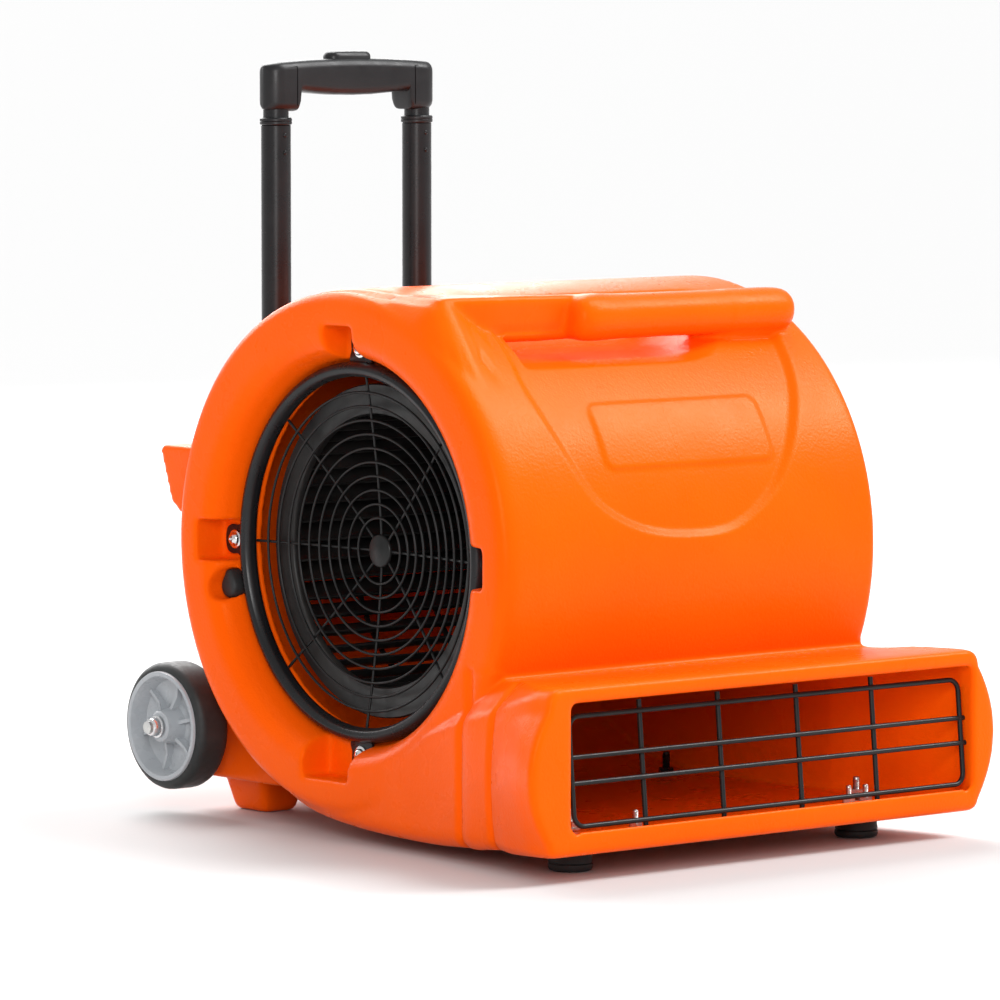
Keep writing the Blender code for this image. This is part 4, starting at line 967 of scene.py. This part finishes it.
def screws():
    for turn, label in enumerate(("rear", "top", "front", "bottom")):
        y, z = around(RING_SCREW_R, math.radians(90 * turn))
        mesh = phillips(-163.9, -1, (0, y, z), 9, 5.6)
        piece("screw_intake_" + label, mesh, CHROME, "intake_screw_" + label)
    for turn in range(4):
        angle = math.radians(45 + 90 * turn)
        at = (0, *around(PLATE_SCREW_R, angle))
        mesh = phillips(PLATE_X + PLATE_T + 0.1, 1, at, 9)
        number = str(turn + 1)
        piece("screw_plate_" + number, mesh, CHROME, "plate_screw_" + number)
    for side, label in ((-1, "left"), (1, "right")):
        mesh = phillips(BEAM_BACK + 3.3, 1, (side * CLAMP_SCREW_X, 0, CLAMP_Z), 20, 6, 2.5, "Y", 1.5)
        piece("screw_clamp_" + label, mesh, CHROME, "clamp_screw_" + label)


def rubber_plug():
    steps = ((1, 0.2), (1, 9.2), (0.97, 11), (0.88, 12.3), (0.74, 13), (0.5, 13.2))
    sections = [teardrop(scale, PLUG_FLOOR - rise) for scale, rise in steps]
    piece("plug_visual", loft("plug", sections), RUBBER, "duct_plug", bevel=0.4, angle=60)


# ---------------------------------------------------------------- outlet guard, feet and floor bolts


def guard_y(z):
    return OUT_GUARD_Y + OUT_GUARD_LEAN * (z - OUT_ROWS[0]) / (OUT_ROWS[-1] - OUT_ROWS[0])


def outlet_guard():
    """A bent wire frame with two wires across and four down, welded at each crossing."""
    low, high = OUT_ROWS[0], OUT_ROWS[-1]
    frame_path = []
    for cx, cz, start in ((1, high, 0), (-1, high, 90), (-1, low, 180), (1, low, 270)):
        centre_x = OUT_RIGHT - 9 if cx > 0 else OUT_LEFT + 9
        centre_z = cz - 9 if cz == high else cz + 9
        for k in range(7):
            angle = math.radians(start + 15 * k)
            zz = centre_z + 9 * math.sin(angle)
            frame_path.append((centre_x + 9 * math.cos(angle), guard_y(zz), zz))
    parts = [tube(frame_path, WIRE_R, 12, True)]
    for z in OUT_ROWS[1:3]:
        parts.append(
            tube([(x, guard_y(z), z) for x in (OUT_LEFT - 1, -100, 0, 100, OUT_RIGHT + 4)], WIRE_R, 12)
        )
    for x in OUT_COLUMNS:
        path = [(x, guard_y(z) + 2.9, z) for z in (low - 7, 60, 90, high + 8)]
        parts.append(tube(path, WIRE_R, 12))
        for z in OUT_ROWS:
            weld = [(x - 2.6, 0), (x - 2.2, 1.9), (x, 2.6), (x + 2.2, 1.9), (x + 2.6, 0)]
            parts.append(turned("weld", weld, (0, guard_y(z) + 1.4, z), "X", 10))
    piece("outlet_guard_visual", joined("outlet_guard", parts), WIRE_COAT, "outlet_guard", angle=50)


def hexagon(reach, low, high, at, axis="Z"):
    """A hexagon head or nut with chamfered corners."""
    nut = turned("hex", [(low, 0), (low, reach), (high, reach), (high, 0)], at, axis, 6)
    cone = [
        (low - 1, 0), (low - 1, reach * 0.78), (low + 0.15 * reach, reach * 1.02),
        (high - 0.15 * reach, reach * 1.02),
    ]
    cone += [(high + 1, reach * 0.78), (high + 1, 0)]
    obj = linked("hex", nut)
    boolean(obj, [turned("cone", cone, at, axis, 36)], "INTERSECT")
    made = obj.data
    bpy.data.objects.remove(obj, do_unlink=True)
    return made


def thread(at, low, high, radius, pitch=1.2, axis="Z"):
    """A bolt shank with rolled thread ridges."""
    profile = [(low, 0), (low, radius * 0.86)]
    reach = low
    while reach + pitch < high - 0.8:
        profile += [(reach + 0.5 * pitch, radius), (reach + pitch, radius * 0.87)]
        reach += pitch
    profile += [(high - 0.6, radius * 0.86), (high, radius * 0.6), (high, 0)]
    return turned("thread", profile, at, axis, 20)


def feet():
    for side, label in ((-1, "left"), (1, "right")):
        x = side * FOOT_X
        profile = [
            (0, 7.5), (0, FOOT_R - 2.5), (0.7, FOOT_R - 0.9), (2.4, FOOT_R), (5, FOOT_R - 0.2),
            (5.6, FOOT_R - 0.9),
        ]
        profile += [
            (6.4, FOOT_R - 0.3), (FOOT_H - 1, FOOT_R - 1.4), (FOOT_H, FOOT_R - 2.2), (FOOT_H, BOLT_R + 0.3)
        ]
        profile += [(7.5, BOLT_R + 0.3), (7.5, 7), (1.5, 7)]
        foot = turned("foot", profile, (x, FOOT_Y, 0), "Z", 48, True)
        piece("foot_" + label, foot, RUBBER, "front_foot_" + label)
        bolt = solid([hexagon(5.9, 3, 7, (x, FOOT_Y, 0)), thread((x, FOOT_Y, 0), 6.5, 46.8, BOLT_R)])
        piece("bolt_foot_" + label, bolt, ZINC, "foot_bolt_" + label)
        washer = turned(
            "washer", [(30.5, 3.3), (31.9, 3.3), (31.9, 7.5), (30.5, 7.5)], (x, FOOT_Y, 0), "Z", 32, True
        )
        nut = solid(
            [hexagon(5.8, 32, 37, (x, FOOT_Y, 0))], [rod("bore", (x, FOOT_Y, 0), "Z", 20, 40, 3.15, 20)]
        )
        piece("nut_foot_" + label, joined("nut", [washer, nut]), ZINC, "foot_nut_" + label)
        cx = side * 118
        clip = hexagon(5.2, 33, 37.4, (cx, -262, 0))
        stud = thread((cx, -262, 0), 26, 47, 2.4, 1.1)
        pad = turned("pad", [(31.6, 0), (31.6, 6.4), (33, 6.4), (33, 0)], (cx, -262, 0), "Z", 32)
        piece("bolt_guard_" + label, solid([pad, clip, stud]), ZINC, "guard_bolt_" + label)
    low = thread((120, -241, 0), 27, 44, 2.4, 1.1)
    piece("bolt_floor_front", solid([low, hexagon(5.2, 30, 34.5, (120, -241, 0))]), ZINC)
    high = thread((145, 0, 0), 22, 46, 3.2, 1.3)
    piece("bolt_floor_rear", solid([high, hexagon(6.4, 27, 33, (145, 0, 0))]), BLACK_STEEL)


# ---------------------------------------------------------------- impeller and motor


def impeller():
    eye = [
        (WHEEL_LEFT, WHEEL_EYE_R + 1), (WHEEL_LEFT, WHEEL_R - 1), (WHEEL_LEFT + 1.5, WHEEL_R),
        (WHEEL_LEFT + 5, WHEEL_R),
    ]
    eye += [(WHEEL_LEFT + 5, WHEEL_EYE_R), (WHEEL_LEFT + 1.5, WHEEL_EYE_R)]
    back = [(WHEEL_RIGHT - 4, 14), (WHEEL_RIGHT - 4, 70), (WHEEL_RIGHT - 8, 84), (WHEEL_RIGHT - 4, 98)]
    back += [
        (WHEEL_RIGHT - 4, WHEEL_R), (WHEEL_RIGHT, WHEEL_R), (WHEEL_RIGHT, 98), (WHEEL_RIGHT - 4, 84),
        (WHEEL_RIGHT, 70), (WHEEL_RIGHT, 14),
    ]
    parts = [turned("eye", eye, CENTRE, "X", 96, True), turned("back", back, CENTRE, "X", 96, True)]
    for x in (-70, 2):
        band = [(x, WHEEL_R - 2), (x, WHEEL_R), (x + 4, WHEEL_R), (x + 4, WHEEL_R - 2)]
        parts.append(turned("band", band, CENTRE, "X", 96, True))
    hub = [(41, 6.2), (41, 15), (43, 17), (62, 18.5), (66, 26), (70.5, 34), (76, 34), (76, 6.2)]
    parts.append(turned("hub", hub, CENTRE, "X", 64, True))
    for blade in range(BLADES):
        turn = TAU * blade / BLADES
        rows = []
        for offset in (-0.8, 0.8):
            row = []
            for step in range(6):
                share = step / 5
                radius = WHEEL_EYE_R + 1 + (WHEEL_R - 2 - WHEEL_EYE_R) * share
                row.append((radius, 0.17 * share * share - 0.02 * share + turn + offset / radius))
            rows.append(row)
        outline = [around(r, t) for r, t in rows[0] + rows[1][::-1]]
        parts.append(prism("blade", outline, WHEEL_LEFT + 3, WHEEL_RIGHT - 3))
    for rib in range(8):
        web = block("rib", (58, DRUM_Y + 17, DRUM_Z - 1.2), (WHEEL_RIGHT - 3, DRUM_Y + 96, DRUM_Z + 1.2))
        parts.append(spun(web, 45 * rib + 20))
    piece("impeller_visual", joined("impeller", parts), FAN_PLASTIC, "impeller", "impeller")
    nut = solid([hexagon(10.6, 29, 39.4, CENTRE, "X")], [rod("bore", CENTRE, "X", 20, 60, 6.15, 32)])
    piece("nut_impeller", nut, ZINC, "impeller_nut", "impeller")


def motor_plate():
    profile = [(PLATE_X, 0), (PLATE_X, PLATE_R), (PLATE_X + 2, PLATE_R), (PLATE_X + PLATE_T, PLATE_R - 1.2)]
    profile += [(PLATE_X + PLATE_T, 84), (PLATE_X + PLATE_T + 1.6, 81), (PLATE_X + PLATE_T + 1.6, 34)]
    profile += [(PLATE_X + PLATE_T + 5, 27), (PLATE_X + PLATE_T + 5, 0)]
    cuts = []
    for turn in range(4):
        angle = math.radians(45 + 90 * turn)
        cuts.append(rod("hole", (0, *around(PLATE_SCREW_R, angle)), "X", 185, 205, 2.5, 16))
    for row, radius in enumerate((42, 51, 60)):
        for turn in range(12):
            wide = 7 + 1.8 * row
            outline = [(DRUM_Y + radius + b, DRUM_Z + a) for a, b in rounded(wide, 2, 1.9, 5)]
            cuts.append(spun(prism("slot", outline, 190, 205), 30 * turn))
    plate = solid([turned("plate", profile, CENTRE, "X", 128)], cuts)
    piece("motor_plate_visual", plate, BLACK_STEEL, "motor_plate")


def controls():
    outline = [(PANEL_Y + a, PANEL_Z + b) for a, b in rounded(PANEL_HALF, PANEL_HALF, 5, 6)]
    inner = [(PANEL_Y + a, PANEL_Z + b) for a, b in rounded(PANEL_HALF - 3, PANEL_HALF - 3, 3.5, 6)]
    x = DRUM_RIGHT + 0.2
    hole = rod("hole", (0, PANEL_Y, PANEL_Z), "X", 185, 205, 3.6, 24)
    panel = solid([prism("panel", outline, x, x + 3)], [prism("recess", inner, x + 2.2, x + 6), hole])
    piece("panel_visual", panel, BLACK_PLASTIC, "control_panel", bevel=0.3)
    marks = []
    for step in range(4):
        tick = block(
            "tick", (x + 2.2, PANEL_Y - 0.6, PANEL_Z + 18.5), (x + 2.6, PANEL_Y + 0.6, PANEL_Z + 21.8)
        )
        marks.append(spun(tick, -45 * step, (0, PANEL_Y, PANEL_Z)))
    piece("dial_marks", joined("marks", marks), DIAL_WHITE, bevel=0.1)
    at = (0, PANEL_Y, PANEL_Z)
    dial = [
        (178, 0), (178, 3), (195.9, 3), (195.9, 16.4), (196.6, 17), (198.4, 17), (199.4, 15.6),
        (200.4, 14.2),
    ]
    dial += [(208.6, 13.2), (210.2, 12.4), (211, 10.6), (211, 0)]
    flutes = [
        spun(rod("flute", (0, PANEL_Y + 15.2, PANEL_Z), "X", 200, 214, 1.7, 12), 30 * k + 15, at)
        for k in range(12)
    ]
    knob = solid([turned("dial", dial, at, "X", 96)], flutes)
    pointer = block("pointer", (199.6, PANEL_Y - 2.2, PANEL_Z - 1), (213.2, PANEL_Y + 2.2, PANEL_Z + 15.2))
    knob = solid([knob, pointer])
    piece("knob_visual", knob, BLACK_PLASTIC, "speed_knob", "speed_knob", bevel=0.3)
    line = block("line", (213.1, PANEL_Y - 0.6, PANEL_Z + 3), (213.45, PANEL_Y + 0.6, PANEL_Z + 14.6))
    piece("knob_line", line, DIAL_WHITE, body="speed_knob", bevel=0.1)
    gland = [
        (176, 4.5), (176, 11), (185.6, 11), (185.6, 8), (192.3, 8), (192.3, 11.5), (197, 11.5), (198, 10.6)
    ]
    gland += [(199, 10.9), (203, 10.4), (206, 9), (213, 7.6), (214, 7), (214, 4.5)]
    at = (0, GLAND_Y, GLAND_Z)
    notches = [
        spun(rod("notch", (0, GLAND_Y + 12.2, GLAND_Z), "X", 192, 199.5, 1.5, 10), 30 * k, at)
        for k in range(12)
    ]
    piece(
        "gland_visual", solid([turned("gland", gland, at, "X", 72, True)], notches), BLACK_PLASTIC,
        "cable_gland",
    )


# ---------------------------------------------------------------- trolley


def trolley():
    for side, label in ((-1, "left"), (1, "right")):
        at = (side * TUBE_X, TUBE_Y, 0)
        outer = [
            (OUTER_FOOT, OUTER_BORE), (OUTER_FOOT, OUTER_R), (OUTER_TOP - 0.6, OUTER_R),
            (OUTER_TOP, OUTER_R - 0.5), (OUTER_TOP, OUTER_BORE),
        ]
        pits = []
        for z in RIVET_HEIGHTS:
            pits.append(rod("pit", (side * TUBE_X, 0, z), "Y", TUBE_Y - 14, TUBE_Y - 11.2, 2, 16))
        piece(
            "tube_outer_" + label, solid([turned("outer", outer, at, "Z", 64, True)], pits), BLACK_STEEL,
            "outer_tube_" + label,
        )
        rivets = []
        for z in RIVET_HEIGHTS:
            y = TUBE_Y - 12.1
            rivets.append(
                turned(
                    "rivet", [(y + 1.2, 0), (y + 1.2, 1.8), (y - 0.2, 1.8), (y - 0.9, 1.1), (y - 1, 0)],
                    (side * TUBE_X, 0, z), "Y", 20,
                )
            )
        piece("rivets_" + label, joined("rivets", rivets), BLACK_STEEL)
        low = OUTER_TOP + 0.2
        collar = [
            (low, 10.55), (low, 12.4), (low + 0.7, 13), (low + 2.4, 13), (low + 2.8, 12.6), (low + 3.2, 13),
            (low + 4.8, 13), (low + 5.8, 12), (low + 5.8, 10.55),
        ]
        piece(
            "collar_" + label, turned("collar", collar, at, "Z", 64, True), BLACK_PLASTIC,
            "tube_collar_" + label,
        )
        inner = [
            (INNER_FOOT, INNER_BORE), (INNER_FOOT, INNER_R), (INNER_TOP, INNER_R), (INNER_TOP, INNER_BORE)
        ]
        holes = [
            rod("lock", (side * TUBE_X, 0, z), "Y", TUBE_Y - 14, TUBE_Y - 8, 2.4, 16)
            for z in LOCK_HEIGHTS
        ]
        piece(
            "tube_inner_" + label, solid([turned("inner", inner, at, "Z", 64, True)], holes), BLACK_STEEL,
            "inner_tube_" + label, "handle",
        )
    grip()
    sections = []
    for z, s, t in (
        (588, 1, 1), (603.4, 1, 1), (605.2, 0.985, 0.94), (606.6, 0.94, 0.82), (607.5, 0.86, 0.62),
        (BUTTON_TOP, 0.7, 0.36),
    ):
        sections.append([(a * s, TUBE_Y + b * t, z) for a, b in rounded(BUTTON_HALF, 8.5, 8, 8)])
    piece(
        "button_visual", loft("button", sections), BLACK_PLASTIC, "release_button", "release_button",
        angle=60,
    )
    outline = [(a, CLAMP_Z + b) for a, b in rounded(118, 10, 3, 5)]
    clamp = loft("clamp", [[(a, y, b) for a, b in outline] for y in (BEAM_BACK + 0.2, BEAM_BACK + 3.2)])
    holes = [rod("hole", (side * CLAMP_SCREW_X, 0, CLAMP_Z), "Y", 245, 260, 2.8, 20) for side in (-1, 1)]
    piece("clamp_visual", solid([clamp], holes), BLACK_STEEL, "tube_clamp", bevel=0.5)


def grip():
    """The handle's cross grip: rounded ends, an arched back and a socket over each inner tube."""
    half = TUBE_X + GRIP_DEEP
    stations = [(0, 572.4, 1), (20, 572.8, 1), (40, 574.2, 1), (53, 575.4, 1), (56.5, 574.6, 1)]
    stations += [(57.6, 563, 1), (58.6, 560.4, 1), (60.5, 560, 1), (TUBE_X, 560, 1)]
    for turn in range(12, 85, 12):
        angle = math.radians(turn)
        stations.append(
            (TUBE_X + GRIP_DEEP * math.sin(angle), 560 + 2.5 * (turn / 84) ** 2, math.cos(angle))
        )
    sections = []
    for x, low, share in [(-x, low, share) for x, low, share in reversed(stations[1:])] + stations:
        middle = (GRIP_TOP - 3.5 * (x / half) ** 2 - 2.5 * (1 - share) + low) / 2
        deep = GRIP_DEEP * share
        outline = rounded(deep, middle - low, min(7, 0.95 * deep), 6)
        sections.append([(x, TUBE_Y + a, middle + b) for a, b in outline])
    pocket = [[(a, TUBE_Y + b, z) for a, b in rounded(BUTTON_HALF + 0.4, 8.9, 8.2, 8)] for z in (579, 620)]
    cuts = [
        rod("socket", (side * TUBE_X, TUBE_Y, 0), "Z", 550, INNER_TOP + 0.3, INNER_R + 0.2, 48)
        for side in (-1, 1)
    ]
    cuts.append(loft("pocket", pocket))
    for side in (-1, 1):
        for y in (TUBE_Y - GRIP_DEEP, TUBE_Y + GRIP_DEEP):
            cuts.append(block("seam", (side * 61.2 - 0.5, y - 0.8, 555), (side * 61.2 + 0.5, y + 0.8, 610)))
    piece("grip_visual", solid([loft("grip", sections)], cuts), BLACK_PLASTIC, "grip", "handle", angle=32)


# ---------------------------------------------------------------- wheels


def wheels():
    for side, label in ((-1, "left"), (1, "right")):
        at = (0, AXLE_Y, AXLE_Z)
        tread = [
            (WHEEL_IN, RIM_R + 0.2), (WHEEL_IN, TYRE_R - 6), (WHEEL_IN + 0.8, TYRE_R - 3.2),
            (WHEEL_IN + 2.6, TYRE_R - 1.3),
        ]
        tread += [
            (WHEEL_IN + 5.4, TYRE_R - 0.2), (WHEEL_IN + 8, TYRE_R), (WHEEL_OUT - 10, TYRE_R),
            (WHEEL_OUT - 7.2, TYRE_R - 0.2),
        ]
        tread += [
            (WHEEL_OUT - 4.6, TYRE_R - 1.3), (WHEEL_OUT - 2.8, TYRE_R - 3.2), (WHEEL_OUT - 2, TYRE_R - 5.6),
            (WHEEL_OUT - 2, RIM_R + 0.2),
        ]
        piece(
            "tyre_" + label + "_visual",
            turned("tyre", [(side * x, r) for x, r in tread], at, "X", 128, True), TYRE, "tyre_" + label,
            "wheel_" + label,
        )
        rim = [
            (WHEEL_IN - 5, AXLE_R + 0.07), (WHEEL_IN - 5, 11), (WHEEL_IN - 4, 12), (168, 13), (168, 38),
            (WHEEL_IN, 39), (WHEEL_IN, RIM_R),
        ]
        rim += [
            (WHEEL_OUT - 1.2, RIM_R), (WHEEL_OUT - 0.2, RIM_R - 0.5), (WHEEL_OUT, RIM_R - 1.4),
            (WHEEL_OUT, 41), (WHEEL_OUT - 0.6, 40),
        ]
        rim += [
            (WHEEL_OUT - 3, 39.2), (176, 36.4), (174, 33), (173.6, 18), (175.6, 15.4), (186, 13.2),
            (WHEEL_OUT + 0.4, 12.4), (WHEEL_OUT + 1.5, 11),
        ]
        rim += [(WHEEL_OUT + 1.5, 8.4), (WHEEL_OUT + 0.4, 7.6), (WHEEL_OUT + 0.4, AXLE_R + 0.07)]
        parts = [turned("rim", [(side * x, r) for x, r in rim], at, "X", 128, True)]
        for spoke in range(6):
            outline = [(13, 182.5), (24, 178.6), (37, 180), (37, 171), (13, 171)]
            rib = loft(
                "rib", [[(side * b, AXLE_Y + w, AXLE_Z + a) for a, b in outline] for w in (-1.5, 1.5)]
            )
            parts.append(spun(rib, 60 * spoke + 15, at))
        piece("rim_" + label, solid(parts), GREY, "wheel_rim_" + label, "wheel_" + label)
        nut = [
            (192.2, AXLE_R + 0.1), (192.2, 8.3), (192.8, 8.8), (193.8, 8.8), (194, 7.6), (198.6, 7.4),
            (200, 6.6), (200.5, AXLE_R + 0.1),
        ]
        piece(
            "cap_axle_" + label, turned("cap", [(side * x, r) for x, r in nut], at, "X", 6 * 8, True),
            CHROME, "axle_nut_" + label,
        )


CARRIED = {
    "axle": ZINC,
    "bearing_carrier": MOTOR_PAINT,
    "bearing_front": CORE,
    "bearing_rear": CORE,
    "button_spring": ZINC,
    "capacitor": GREY_CAN,
    "motor_end_bell": MOTOR_PAINT,
    "motor_housing": MOTOR_PAINT,
    "motor_shaft": ZINC,
    "rotor_core": CORE,
    "speed_switch": BLACK_PLASTIC,
    "stator": COPPER,
}


def carried_over():
    for name, material in CARRIED.items():
        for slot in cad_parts[name].material_slots:
            slot.material = material


camera()
studio()
shell()
intake_ring()
intake_guard()
screws()
rubber_plug()
outlet_guard()
feet()
impeller()
motor_plate()
controls()
trolley()
wheels()
carried_over()
